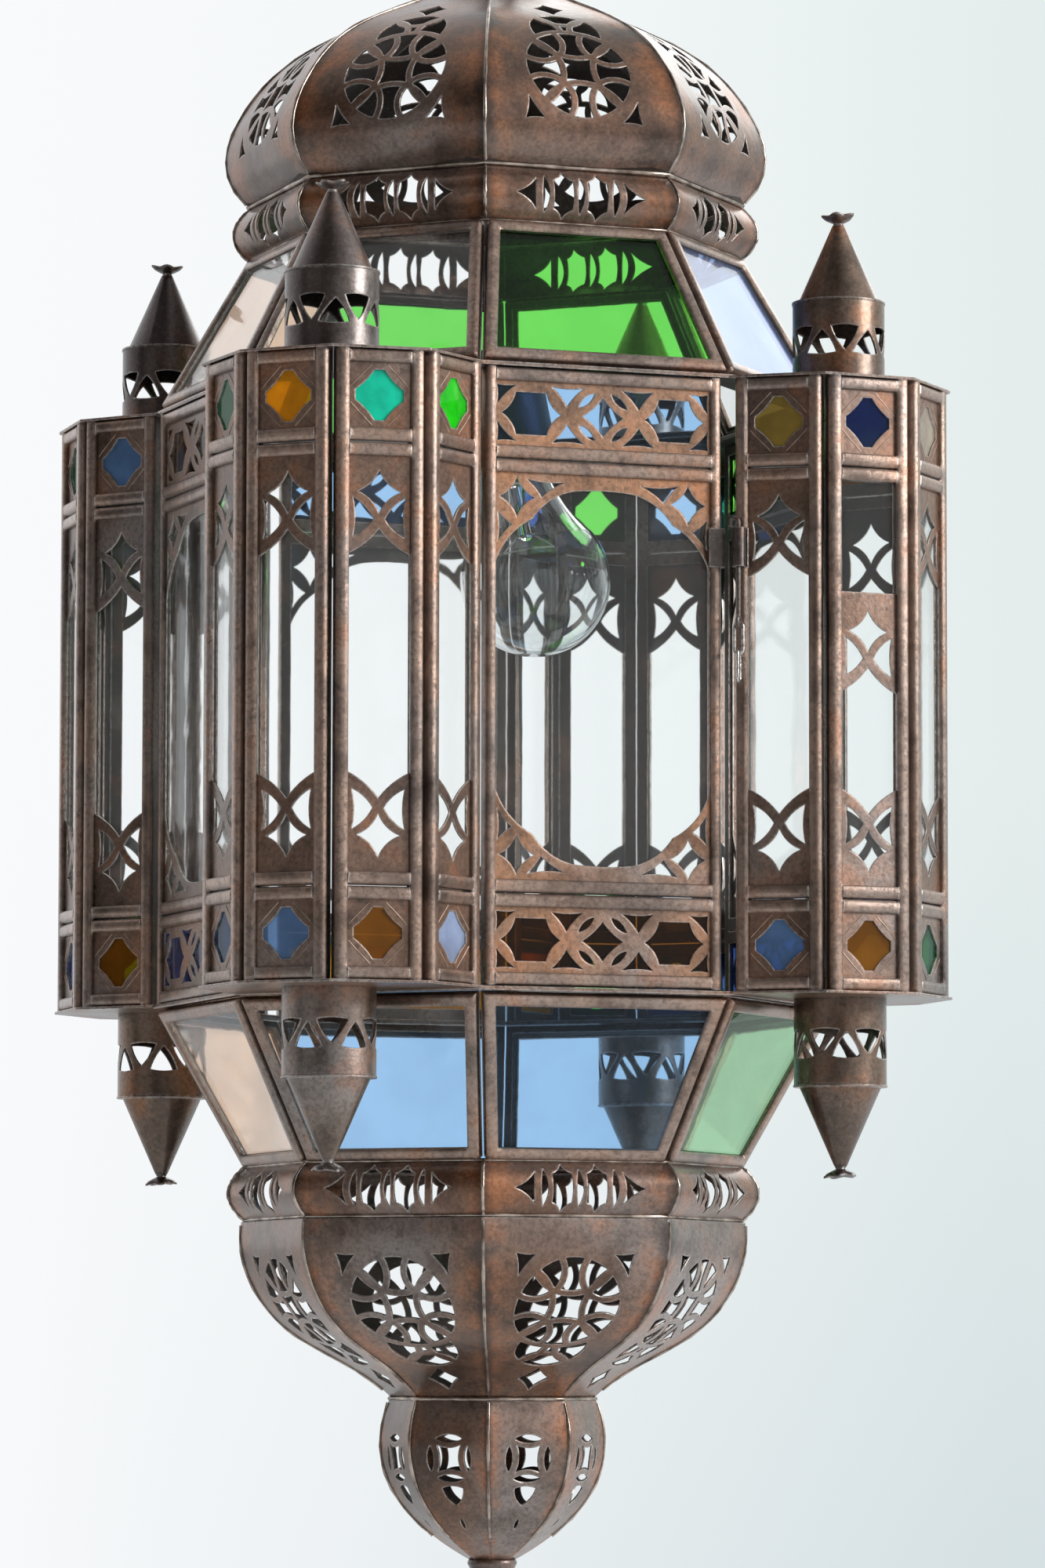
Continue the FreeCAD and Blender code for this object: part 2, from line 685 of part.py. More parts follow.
def slope_outline(wide, narrow, length, inset):
    """Trapezium, wide at its foot, drawn in by an inset on all sides."""
    lean = math.atan2((wide - narrow) / 2, length)
    drawn = inset / math.cos(lean)
    foot = wide / 2 - drawn - inset * math.tan(lean)
    head = narrow / 2 - drawn + inset * math.tan(lean)
    return [(-foot, inset, 0), (foot, inset, 0), (head, length - inset, 0), (-head, length - inset, 0)]


def side_inset(outline_points, gap):
    return [(x - math.copysign(gap, x), y, b) for x, y, b in outline_points]


def slope_kit(name, height):
    narrow = 2 * NECK_APOTHEM * math.tan(HALF_FACE)
    length = (APOTHEM - NECK_APOTHEM) / math.sin(slope_angle(height))
    gap = size("slope_depth") / 2 * math.tan(HALF_FACE) + size("seam_play") / 2
    bar = size("slope_bar")
    shelf = bar - size("lip_width")
    outer = side_inset(slope_outline(FACE_WIDTH, narrow, length, 0), gap)
    inner = side_inset(slope_outline(FACE_WIDTH, narrow, length, bar), gap)
    rebate = side_inset(slope_outline(FACE_WIDTH, narrow, length, shelf), gap)
    pane = side_inset(slope_outline(FACE_WIDTH, narrow, length, shelf + size("pane_play")), gap)
    body = new_body(f"{name}_frame")
    add_pad(body, add_sketch(body, "XZ_Plane", [outer, inner]), "sizes.slope_depth", True)
    back = "-(sizes.slope_depth - sizes.slope_rebate)"
    add_pocket(body, add_sketch(body, "XZ_Plane", [rebate], back), "sizes.slope_rebate")
    round_front(body)
    glass = new_body(f"{name}_pane")
    front = "-(sizes.slope_depth - sizes.slope_rebate + sizes.pane_play / 2)"
    add_pad(glass, add_sketch(glass, "XZ_Plane", [pane], front), "sizes.pane_thickness", True)
    return body, glass


def round_front(body):
    """Rounds the edges of a frame's front face."""
    base = body.Tip
    edges = []
    for number, e in enumerate(base.Shape.Edges, 1):
        if abs(e.BoundBox.YMin) < 1e-6 and abs(e.BoundBox.YMax) < 1e-6:
            edges.append(f"Edge{number}")
    fillet = body.newObject("PartDesign::Fillet", f"{body.Name}_round")
    fillet.Base = (base, edges)
    fillet.setExpression("Radius", "sizes.slope_round")
    doc.recompute()


def slope_place(angle, z, height, upwards):
    tilt = Rotation(Vector(1, 0, 0), -math.degrees(slope_angle(height)))
    if not upwards:
        tilt = Rotation(Vector(0, 1, 0), 180).multiply(tilt)
    middle = Placement(Vector(0, -size("slope_depth") / 2, 0), Rotation())
    return facing(angle, APOTHEM, z).multiply(Placement(Vector(), tilt)).multiply(middle)


ROOF_GLASS = {-135: "clear", -90: "green", -45: "pale_blue", 0: "clear", 45: "clear", 90: "green"}
ROOF_GLASS.update({135: "peach", 180: "clear"})
FUNNEL_GLASS = {-135: "clear", -90: "blue", -45: "green", 0: "clear", 45: "clear", 90: "blue"}
FUNNEL_GLASS.update({135: "peach", 180: "clear"})


def make_slopes():
    panes = {}
    roof_frame, roof_pane = slope_kit("roof", size("roof_height"))
    funnel_frame, funnel_pane = slope_kit("funnel", size("funnel_height"))
    roof = {a: slope_place(a, Z_ROOF, size("roof_height"), True) for a in ROOF_GLASS}
    funnel = {a: slope_place(a, Z_FUNNEL_TOP, size("funnel_height"), False) for a in FUNNEL_GLASS}
    group("roof_frames", [(roof_frame, place) for place in roof.values()])
    group("funnel_frames", [(funnel_frame, place) for place in funnel.values()])
    for angle, colour in ROOF_GLASS.items():
        panes.setdefault(colour, []).append((roof_pane, roof[angle]))
    for angle, colour in FUNNEL_GLASS.items():
        panes.setdefault(colour, []).append((funnel_pane, funnel[angle]))
    for colour, pieces in panes.items():
        group(f"slope_panes_{colour}", pieces)


# Gores: eight curved sheets make each ring, the dome, the bowl and the finial


def meridian(points):
    """Curve of a gore's middle line through (radius, height) points."""
    curve = Part.BSplineCurve()
    curve.interpolate([Vector(0, -r, z) for r, z in points])
    return curve


def inward(curve, parameter):
    along = curve.tangent(parameter)[0]
    return Vector(0, along.z, -along.y).normalize()


def inner_curve(curve, points):
    thickness = size("skin_thickness")
    drawn = []
    for r, z in points:
        place = Vector(0, -r, z)
        drawn.append(place + inward(curve, curve.parameter(place)) * thickness)
    inner = Part.BSplineCurve()
    inner.interpolate(drawn)
    return inner


def wedge(reach, low, high):
    """The eighth of space that one gore may fill."""
    apex = Vector(0, -size("gore_seam") / (2 * math.sin(HALF_FACE)), low)
    across = reach * math.tan(HALF_FACE)
    corners = [apex, Vector(across, apex.y - reach, low), Vector(-across, apex.y - reach, low)]
    return Part.Face(Part.makePolygon(corners + [apex])).extrude(Vector(0, 0, high - low))


def gore(points):
    """One unpierced gore, facing -Y, and the curve of its outer middle line."""
    curve = meridian(points)
    inner = inner_curve(curve, points)
    foot = Part.makeLine(inner.StartPoint, curve.StartPoint)
    head = Part.makeLine(curve.EndPoint, inner.EndPoint)
    section = Part.Face(Part.Wire([curve.toShape(), head, inner.toShape(), foot]))
    reach = max(radius for radius, z in points) + size("skin_thickness")
    heights = [z for radius, z in points]
    margin = size("skin_thickness")
    section.translate(Vector(-reach, 0, 0))
    slab = section.extrude(Vector(2 * reach, 0, 0))
    return slab.common(wedge(2 * reach, min(heights) - margin, max(heights) + margin)), curve


def drill(curve, flat_face, level=None):
    """A piercing tool: a flat outline set on the curve and pushed through the skin."""
    centre = flat_face.CenterOfMass.y if level is None else level
    parameter = curve.parameterAtDistance(centre, curve.FirstParameter)
    along = curve.tangent(parameter)[0]
    across = Vector(1, 0, 0)
    normal = across.cross(along)
    tool = flat_face.copy()
    tool.translate(Vector(0, -centre, 0))
    frame = FreeCAD.Matrix(
        across.x, along.x, normal.x, 0,
        across.y, along.y, normal.y, 0,
        across.z, along.z, normal.z, 0,
        0, 0, 0, 1,
    )
    place = Placement(frame)
    place.Base = curve.value(parameter) - normal * CUT_REACH
    tool.Placement = place.multiply(tool.Placement)
    return tool.extrude(normal * 2 * CUT_REACH)


def disc(x, y, radius):
    return Part.Face(Part.Wire(Part.makeCircle(radius, Vector(x, y, 0))))


def band_ring(x, y, radius):
    bar = size("ornament_bar") / 2
    return disc(x, y, radius + bar).cut(disc(x, y, radius - bar))


def lattice(region, bands):
    """The holes that a web of bands leaves open in a region."""
    least = size("ornament_bar") ** 2 / 2
    return [f for f in region.cut(bands).Faces if f.Area > least]


def rosette(y, radius):
    """Interlaced circles round a hollow-sided square."""
    rings = [band_ring(radius * 1.16 * math.cos(a), y + radius * 1.16 * math.sin(a), radius * 0.86)
             for a in (k * math.pi / 2 for k in range(4))]
    rings += [band_ring(radius * 0.98 * math.cos(a), y + radius * 0.98 * math.sin(a), radius * 0.52)
              for a in (math.pi / 4 + k * math.pi / 2 for k in range(4))]
    return lattice(disc(0, y, radius), rings)


def lobe(y, radius, big_y, big_radius):
    """A smaller round of piercings that leans on a rosette."""
    region = disc(0, y, radius).cut(disc(0, big_y, big_radius + size("ornament_bar")))
    rings = [band_ring(sx * radius * 0.95, y, radius * 0.8) for sx in (1, -1)]
    rings.append(band_ring(0, y + math.copysign(radius, y - big_y) * 1.1, radius * 0.75))
    return lattice(region, rings)


def ring_profile():
    return [(NECK_APOTHEM, 0), (NECK_APOTHEM + size("ring_bulge"), size("ring_height") / 2),
            (NECK_APOTHEM, size("ring_height"))]


def ring_holes():
    """Upright slits and lobes in a pointed row."""
    big = hexagon(8.8, 4.0, 5.4)
    big = [(y, x, -b) for x, y, b in big]
    slit = lens((0, -7.0), (0, 7.0), 0.1)
    point = triangle((26.6, 0), (17.8, 6.2), (17.8, -6.2), -0.08)
    holes = [shift(big, sx * 7.0, 0) for sx in (1, -1)]
    holes += [shift(slit, x, 0) for x in (-14.4, 0, 14.4)]
    holes += [point, flip(point, -1, 1)]
    return [face_of(h) for h in holes]


def dome_profile():
    return [
        (size("dome_base"), 0),
        (size("dome_swell"), size("dome_swell_height")),
        (size("dome_cheek"), size("dome_cheek_height")),
        (size("dome_shoulder"), size("dome_shoulder_height")),
        (size("dome_crown"), size("dome_crown_height")),
        (size("dome_top"), size("dome_height")),
    ]


def bowl_profile():
    return [
        (size("bowl_foot"), -size("bowl_depth")),
        (size("bowl_hip"), -size("bowl_hip_drop")),
        (size("bowl_waist"), -size("bowl_waist_drop")),
        (size("bowl_cheek"), -size("bowl_cheek_drop")),
        (size("bowl_rim"), 0),
    ]


def finial_profile():
    return [
        (size("finial_end"), -size("finial_depth")),
        (size("finial_swell"), -size("finial_swell_drop")),
        (size("bowl_foot"), 0),
    ]


def star_holes(start):
    """Rosette, lobe, corner points and gem of a dome or bowl gore, from its wide end on."""
    radius = size("rosette_radius")
    small = size("lobe_radius")
    rose_y = start + radius
    lobe_y = rose_y + radius + small * LOBE_LEAN
    inner = (radius - 4.8, start - 1.0)
    outer = (radius + 3.0, start - 1.5)
    corner = triangle(inner, outer, (radius + 1.4, start + 7.5), SHALLOW)
    gem = shift(diamond(6.2, 7.0, SHALLOW), 0, lobe_y + small + 8.6)
    faces = rosette(rose_y, radius) + lobe(lobe_y, small, rose_y, radius)
    return faces + [face_of(points) for points in (corner, flip(corner, -1, 1), gem)]


def from_far_end(faces, length):
    turned = []
    for face in faces:
        turned.append(face.copy())
        turned[-1].rotate(Vector(0, length / 2, 0), Vector(0, 0, 1), 180)
    return turned


def finial_holes():
    """Hollow-sided square with slits round it, a point and a slit below, from the finial's top down."""
    square = [(x, y, HOLLOW) for x, y in ((5.0, -5.2), (5.0, 5.2), (-5.0, 5.2), (-5.0, -5.2))]
    above = lens((5.6, 7.8), (-5.6, 7.8), 0.14)
    beside = lens((7.9, -5.0), (7.9, 5.0), 0.14)
    point = triangle((-4.4, 12.0), (0, 19.5), (4.4, 12.0))
    slit = lens((0, 26.0), (0, 32.0), 0.12)
    holes = [square, above, flip(above, 1, -1), beside, flip(beside, -1, 1), point, slit]
    return [face_of(shift(points, 0, size("finial_star"))) for points in holes]


def pierce(body, tools):
    """The largest solid that is left when a gore is pierced."""
    return max(body.cut(tools).Solids, key=lambda solid: solid.Volume)


def ring_gore():
    body, curve = gore(ring_profile())
    middle = curve.length() / 2
    faces = ring_holes()
    for face in faces:
        face.translate(Vector(0, middle, 0))
    return pierce(body, [drill(curve, face, middle) for face in faces])


def dome_gore():
    body, curve = gore(dome_profile())
    return pierce(body, [drill(curve, face) for face in star_holes(size("dome_star"))])


def bowl_gore():
    body, curve = gore(bowl_profile())
    faces = from_far_end(star_holes(size("bowl_star")), curve.length())
    return pierce(body, [drill(curve, face) for face in faces])


def finial_gore():
    body, curve = gore(finial_profile())
    faces = from_far_end(finial_holes(), curve.length())
    return pierce(body, [drill(curve, face) for face in faces])


def ring_of_gores(label, shape, z):
    group(label, [(shape, facing(DOOR_FACE + 360 / SIDES * k, 0, z)) for k in range(SIDES)])


def make_gores():
    ring = ring_gore()
    ring_of_gores("upper_ring", ring, Z_UPPER_RING)
    ring_of_gores("lower_ring", ring, Z_LOWER_RING)
    ring_of_gores("dome", dome_gore(), Z_DOME)
    ring_of_gores("bowl", bowl_gore(), Z_BOWL)
    ring_of_gores("finial", finial_gore(), Z_FINIAL)


def make_finial_tip():
    """Turned drop that closes the finial."""
    radius = size("finial_end") + size("skin_thickness")
    length = size("tip_length")
    body = new_body("finial_tip")
    profile = [(0, -length, 0.18), (radius, -length * 0.3, 0.2), (radius, 0, 0), (0, 0, 0)]
    add_revolution(body, [profile])
    node(body, "finial_tip", at_height(Z_TIP))


# Towers: flat roofs and floors, and a turret on each


def tower_plate():
    """Plan of a tower with a small overhang, cut off straight along the hoop."""
    reach = CAME / 2 + size("plate_overhang")
    back = -(APOTHEM + CAME / 2 + size("joint_play"))
    corner = Vector(-FACE_WIDTH / 2, -(APOTHEM + size("tower_standoff")), 0)
    points = []
    for k in TOWER_PANELS[:-1]:
        corner = corner + Vector(math.cos(k * TURN), math.sin(k * TURN), 0) * PITCH
        bisector = (k + 0.5) * TURN
        out = Vector(math.sin(bisector), -math.cos(bisector), 0) * (reach / math.cos(TURN / 2))
        points.append((corner.x + out.x, corner.y + out.y, 0))
    run = (back - points[0][1]) / math.tan(TOWER_PANELS[0] * TURN)
    end = (points[0][0] + run, back, 0)
    return [end] + points + [(-end[0], back, 0)]


def make_tower_plates():
    body = new_body("tower_plate")
    add_pad(body, add_sketch(body, "XY_Plane", [tower_plate()]), "sizes.plate_thickness")
    roofs = [facing(axis, 0, Z_TOP) for axis in TOWER_AXES.values()]
    floors = [facing(axis, 0, Z_BOTTOM - size("plate_thickness")) for axis in TOWER_AXES.values()]
    group("tower_roofs", [(body, place) for place in roofs])
    group("tower_floors", [(body, place) for place in floors])


def gallery_holes():
    """A hanging point and a standing point, one of each for every arch."""
    low = size("turret_base")
    high = low + size("arch_height")
    step = 2 * math.pi * size("turret_radius") / size("arch_count") / 2
    top = step * 0.56
    foot = step * 0.54
    hanging = triangle((top, high), (-top, high), (0, low + 0.8), 0.06)
    standing = triangle((-foot, low), (foot, low), (0, high - 1.2), 0.06)
    return [hanging, shift(standing, step * 0.92, 0)]


def gallery():
    """Pierced tube of a turret."""
    body = new_body("gallery")
    radius = size("turret_radius")
    walls = [circle(0, 0, radius), circle(0, 0, radius - size("turret_wall"))]
    add_pad(body, add_sketch(body, "XY_Plane", walls), "sizes.turret_height")
    pocket = add_pocket(body, add_sketch(body, "XZ_Plane", gallery_holes()), "sizes.turret_radius")
    pattern = body.newObject("PartDesign::PolarPattern", "gallery_arches")
    pattern.Originals = [pocket]
    pattern.Axis = (origin_feature(body, "Z_Axis"), [""])
    pattern.Angle = 360
    pattern.setExpression("Occurrences", "sizes.arch_count")
    body.Tip = pattern
    return body


def cone():
    """Hollow cone of a turret with the rim that it stands on."""
    wall = size("turret_wall")
    foot = size("cone_foot")
    rim = size("turret_radius") + size("cone_overhang")
    tip = size("cone_tip")
    height = size("cone_height")
    inside = [(0, height - wall, 0), (tip - wall, height - wall, 0), (foot - 2 * wall, 0, 0)]
    profile = [(rim, 0, 0), (rim, wall, 0), (foot, wall, 0), (tip, height, 0), (0, height, 0)]
    return add_revolution(new_body("cone"), [profile + inside])


def crimped_tip():
    """Short neck under a flattened end with a round rim."""
    neck = size("cone_tip")
    wide = size("crimp_width") / 2
    low = size("crimp_height")
    high = low + size("crimp_thickness")
    shoulder = wide - size("crimp_thickness") / 2
    stalk = [(0, 0, 0), (neck, 0, 0), (neck, low, 0)]
    end = [(shoulder, low, 0.5), (shoulder, high, 0), (0, high, 0)]
    return add_revolution(new_body("crimped_tip"), [stalk + end])


def make_turrets():
    walls = gallery()
    roof = cone()
    tip = crimped_tip()
    over = Rotation(Vector(1, 0, 0), 180)
    axes = TOWER_AXES.values()
    out = size("turret_place")
    up = [facing(axis, out, Z_TOP + size("plate_thickness")) for axis in axes]
    down = [facing(axis, out, Z_BOTTOM - size("plate_thickness")) for axis in axes]
    down = [place.multiply(Placement(Vector(), over)) for place in down]
    group("upper_galleries", [(walls, place) for place in up])
    group("lower_galleries", [(walls, place) for place in down])
    raised = at_height(size("turret_height"))
    group("upper_cones", [(roof, place.multiply(raised)) for place in up])
    group("lower_cones", [(roof, place.multiply(raised)) for place in down])
    top = at_height(size("turret_height") + size("cone_height"))
    group("turret_tips", [(tip, place.multiply(top)) for place in up + down])


# Crown: cap, hollow bolt through it and the loop that the lantern hangs from


def make_crown_cap():
    bore = size("nipple_radius") + size("pivot_play")
    height = size("cap_height")
    wall = size("cap_wall")
    foot = size("cap_radius")
    shoulder = size("loop_neck_radius") + wall
    outside = [(foot, 0, 0.16), (shoulder, height, 0), (bore, height, 0)]
    inside = [(bore, height - wall, 0), (shoulder, height - wall, -0.16)]
    body = add_revolution(new_body("crown_cap"), [outside + inside + [(foot - wall, 0, 0)]])
    node(body, "crown_cap", at_height(Z_CAP))


def make_crown_nipple():
    """Hollow bolt: its head sits under the cap and its top is screwed into the loop."""
    body = new_body("crown_nipple")
    radius = size("nipple_radius")
    bore = size("flex_radius") + size("flex_play")
    head = size("nipple_head")
    seat = size("cap_height") - size("cap_wall")
    top = size("cap_height") + size("loop_neck") - size("flex_play")
    profile = [(bore, seat - size("nipple_drop"), 0), (radius, seat - size("nipple_drop"), 0)]
    profile += [(radius, seat - head, 0), (radius + head, seat - head, 0), (radius + head, seat, 0)]
    profile += [(radius, seat, 0), (radius, top, 0), (bore, top, 0)]
    add_revolution(body, [profile])
    node(body, "crown_nipple", at_height(Z_CAP))


def make_hanging_loop():
    body = new_body("hanging_loop")
    bore = size("loop_bore")
    rim = bore + size("loop_rim")
    ring = add_sketch(body, "XZ_Plane", [circle(0, 0, rim), circle(0, 0, bore)])
    pad = add_pad(body, ring, "sizes.loop_thickness")
    pad.Midplane = True
    neck = size("loop_neck_radius")
    thread = size("nipple_radius") + size("pivot_play")
    inside_top = -bore - size("loop_rim") / 2
    profile = [(thread, Z_CAP_TOP, 0), (neck, Z_CAP_TOP, 0), (neck, -rim, 0), (neck / 2, inside_top, 0)]
    profile += [(0, inside_top, 0), (0, -rim, 0), (thread, -rim, 0)]
    add_revolution(body, [profile])
    node(body, "hanging_loop")


# Lamp: it leans, with the lampholder near the lantern's axis


def lamp_direction():
    heading = math.radians(size("bulb_heading"))
    tilt = math.radians(size("bulb_tilt"))
    return Vector(-math.sin(tilt) * math.cos(heading), -math.sin(tilt) * math.sin(heading), math.cos(tilt))


def lamp_place(rise=0):
    heading = math.radians(size("bulb_heading"))
    reach = size("bulb_offset")
    centre = Vector(reach * math.cos(heading), reach * math.sin(heading), Z_TOP - size("bulb_drop"))
    turn = Rotation(Vector(0, 0, 1), lamp_direction())
    return Placement(centre + lamp_direction() * rise, turn)


def glass_side(radius, neck):
    """Half outline of the bulb from its lowest point to its neck, as (radius, height)."""
    shoulder = math.radians(SHOULDER_ANGLE)
    start = (0, -radius, math.tan(math.radians(90 + SHOULDER_ANGLE) / 4) / 2)
    turn = (radius * math.cos(shoulder), radius * math.sin(shoulder), -0.07)
    top = size("bulb_neck_height")
    return [start, turn, (neck, top - BULB_COLLAR, 0), (neck, top, 0)]


def make_bulb():
    wall = size("bulb_wall")
    outside = glass_side(size("bulb_radius"), size("bulb_neck"))
    inside = glass_side(size("bulb_radius") - wall, size("bulb_neck") - wall)
    back = [(x, y, 0) for x, y, b in inside[::-1]]
    back[1] = (back[1][0], back[1][1], -inside[1][2])
    back[2] = (back[2][0], back[2][1], -inside[0][2])
    body = add_revolution(new_body("bulb_glass"), [outside + back])
    node(body, "bulb_glass", lamp_place())
    make_screw_cap()
    make_stem()
    make_filament()


def make_screw_cap():
    radius = size("screw_radius")
    height = size("screw_height")
    count = int(size("thread_count"))
    pitch = height / (count + 1)
    bulge = size("thread_depth") / pitch
    threads = [(radius, pitch * k, bulge) for k in range(count + 1)]
    threads[-1] = (*threads[-1][:2], 0)
    button = size("stem_radius")
    contact = [(2 * button, height, 0), (button, height + button, 0), (0, height + button, 0)]
    body = add_revolution(new_body("bulb_cap"), [[(0, 0, 0)] + threads + contact])
    node(body, "bulb_cap", lamp_place(size("bulb_neck_height")))


def make_stem():
    """Glass foot and post that carry the filament."""
    top = size("bulb_neck_height")
    low = top - size("stem_length")
    radius = size("stem_radius")
    profile = [(0, low, 0.2), (radius, low + radius, 0), (radius, top - radius * 3, -0.1)]
    profile += [(size("flare_radius"), top, 0), (0, top, 0)]
    body = add_revolution(new_body("bulb_stem"), [profile])
    node(body, "bulb_stem", lamp_place())


def wire(start, end, radius):
    along = Vector(*end) - Vector(*start)
    return Part.makeCylinder(radius, along.Length, Vector(*start), along)


def make_filament():
    """Two supports that leave the stem and the coil that hangs between them."""
    radius = size("filament_radius")
    low = size("bulb_neck_height") - size("stem_length") + size("stem_radius")
    spread = size("filament_spread")
    foot = size("stem_radius") + radius * 1.5
    high = low - size("filament_rise") / 2
    ends = [(sense * spread, 0, high) for sense in (1, -1)]
    pieces = [wire((sense * foot, 0, low), end, radius) for sense, end in zip((1, -1), ends)]
    middle = (0, -size("stem_radius") * 2, high)
    pieces += [wire(end, middle, radius) for end in ends]
    joints = [Part.makeSphere(radius, Vector(*point)) for point in ends + [middle]]
    feature = doc.addObject("Part::Feature", "bulb_filament")
    feature.Shape = pieces[0].multiFuse(pieces[1:] + joints).removeSplitter()
    node(feature, "bulb_filament", lamp_place())


def skirt_bore():
    return size("screw_radius") + size("thread_depth") + size("holder_play")


def make_lampholder():
    bore = skirt_bore()
    outer = bore + size("holder_wall")
    height = size("screw_height") + HOLDER_ROOM
    foot = size("bulb_neck_height") + HOLDER_GAP
    skirt = [(bore, 0, 0), (outer, 0, 0), (outer, height, 0), (bore, height, 0)]
    body = add_revolution(new_body("lampholder_skirt"), [skirt])
    node(body, "lampholder_skirt", lamp_place(foot))
    rise = size("holder_cap_height")
    hole = size("flex_radius") + size("flex_play")
    neck = outer * HOLDER_NECK
    cap = [(hole, 0, 0), (outer, 0, 0.12), (neck, rise * 0.8, 0), (neck, rise, 0), (hole, rise, 0)]
    body = add_revolution(new_body("lampholder_cap"), [cap])
    node(body, "lampholder_cap", lamp_place(foot + height))
    return foot + height + rise


def make_flex(holder_top):
    start = lamp_place(holder_top + size("flex_play")).Base
    nipple_end = Z_CAP_TOP - size("cap_wall") - size("nipple_drop")
    end = Vector(0, 0, nipple_end - size("flex_play"))
    flex = doc.addObject("Part::Cylinder", "inner_flex")
    flex.setExpression("Radius", "sizes.flex_radius")
    flex.Height = (end - start).Length
    node(flex, "inner_flex", Placement(start, Rotation(Vector(0, 0, 1), end - start)))


# Latch: a hooked pin in a barrel on the tower, with two loose links on its eye


def latch_panel():
    return tower_frames(TOWER_AXES["tower_2"])[0]


def pin_axis():
    across = -TOWER_WIDTH / 2 + size("barrel_inset")
    out = -(size("clip_thickness") / 2 + size("barrel_radius"))
    return across, out


def make_door_clip():
    """Angled plate on the front and on the free edge of the door."""
    body = new_body("door_clip")
    edge_x = DOOR_WIDTH / 2
    plate = size("clip_thickness")
    front = [(edge_x - size("clip_width"), 0, 0), (edge_x - size("clip_width"), -plate, 0)]
    side_edge = [(edge_x + plate, -plate, 0), (edge_x + plate, CAME, 0), (edge_x, CAME, 0), (edge_x, 0, 0)]
    add_pad(body, add_sketch(body, "XY_Plane", [front + side_edge]), "sizes.clip_height")
    drop = size("clip_drop") - size("door_play") + size("clip_height")
    node(body, "door_clip", door_place().multiply(at_height(DOOR_HEIGHT - drop)))


def make_tower_clip():
    body = new_body("tower_clip")
    across, out = pin_axis()
    left = -TOWER_WIDTH / 2
    plate = size("clip_thickness")
    right = left + size("clip_width")
    front = [(left, 0, 0), (left, -plate, 0), (right, -plate, 0), (right, 0, 0)]
    barrel = circle(across, out, size("barrel_radius"))
    bore = circle(across, out, size("pin_radius") + size("pin_play"))
    add_pad(body, add_sketch(body, "XY_Plane", [front]), "sizes.clip_height")
    add_pad(body, add_sketch(body, "XY_Plane", [barrel]), "sizes.clip_height")
    add_pocket(body, add_sketch(body, "XY_Plane", [bore]), "sizes.clip_height", True)
    low = size("body_height") - size("clip_drop") - size("clip_height")
    node(body, "tower_clip", latch_panel().multiply(at_height(low)))


def half_ring(bend, radius, placement):
    ring = doc.addObject("Part::Torus", "bend")
    ring.setExpression("Radius1", bend)
    ring.setExpression("Radius2", radius)
    ring.Angle3 = 180
    ring.Placement = placement
    return ring


def straight(radius, length, placement):
    rod = doc.addObject("Part::Cylinder", "straight")
    rod.setExpression("Radius", radius)
    rod.setExpression("Height", length)
    rod.Placement = placement
    return rod


def fused(label, pieces, placement):
    whole = doc.addObject("Part::MultiFuse", label)
    whole.Shapes = pieces
    return node(whole, label, placement)


UPRIGHT = Rotation(Vector(1, 0, 0), 90)
HANGING = Rotation(Vector(1, 0, 0), -90)
SIDEWAYS = Rotation(Vector(0, 0, 1), 90)


def make_latch_pin():
    """Wire with a hook above the barrel and an eye below it, drawn from the eye's centre up."""
    across, out = pin_axis()
    length = size("pin_drop") + size("clip_height") + size("pin_rise")
    bend = size("hook_radius")
    end_height = length - size("hook_end")
    shaft = "sizes.pin_drop + sizes.clip_height + sizes.pin_rise - sizes.eye_radius"
    rod = straight("sizes.pin_radius", shaft, at_height(size("eye_radius")))
    hook = half_ring("sizes.hook_radius", "sizes.pin_radius", Placement(Vector(-bend, 0, length), UPRIGHT))
    tip = Placement(Vector(-2 * bend, 0, end_height), Rotation())
    end = straight("sizes.pin_radius", "sizes.hook_end", tip)
    eye = doc.addObject("Part::Torus", "eye")
    eye.setExpression("Radius1", "sizes.eye_radius")
    eye.setExpression("Radius2", "sizes.pin_radius")
    eye.Placement = Placement(Vector(), Rotation(Vector(0, 1, 0), 90))
    place = latch_panel().multiply(Placement(Vector(across, out, eye_height()), Rotation()))
    fused("latch_pin", [rod, hook, end, eye], place)


def eye_height():
    """Centre of the latch pin's eye above the foot of the panel."""
    return size("body_height") - size("clip_drop") - size("clip_height") - size("pin_drop")


def link(label, drop, turn):
    """Closed wire link, drawn from the middle of its upper bend."""
    bend = size("link_bend")
    length = size("link_length")
    upper = half_ring("sizes.link_bend", "sizes.link_radius", Placement(Vector(), UPRIGHT))
    lower = half_ring("sizes.link_bend", "sizes.link_radius", Placement(Vector(0, 0, -length), HANGING))
    feet = [Placement(Vector(sense * bend, 0, -length), Rotation()) for sense in (1, -1)]
    sides = [straight("sizes.link_radius", "sizes.link_length", foot) for foot in feet]
    across, out = pin_axis()
    place = latch_panel().multiply(Placement(Vector(across, out, eye_height() - drop), turn))
    fused(label, [upper, lower] + sides, place)


def make_links():
    """The upper link hangs in the pin's eye and the lower one in the upper one."""
    slack = size("eye_radius") - size("pin_radius") - size("link_radius") - size("link_play")
    first = slack + size("link_bend")
    overlap = 2 * size("link_radius") + size("link_play")
    second = first + size("link_length") + 2 * size("link_bend") - overlap
    link("link_upper", first, Rotation())
    link("link_lower", second, SIDEWAYS)


# Whole lantern


def check(obj):
    if "Invalid" in obj.State or "Error" in obj.State:
        raise ValueError(f"{obj.Name} failed: {obj.State}")


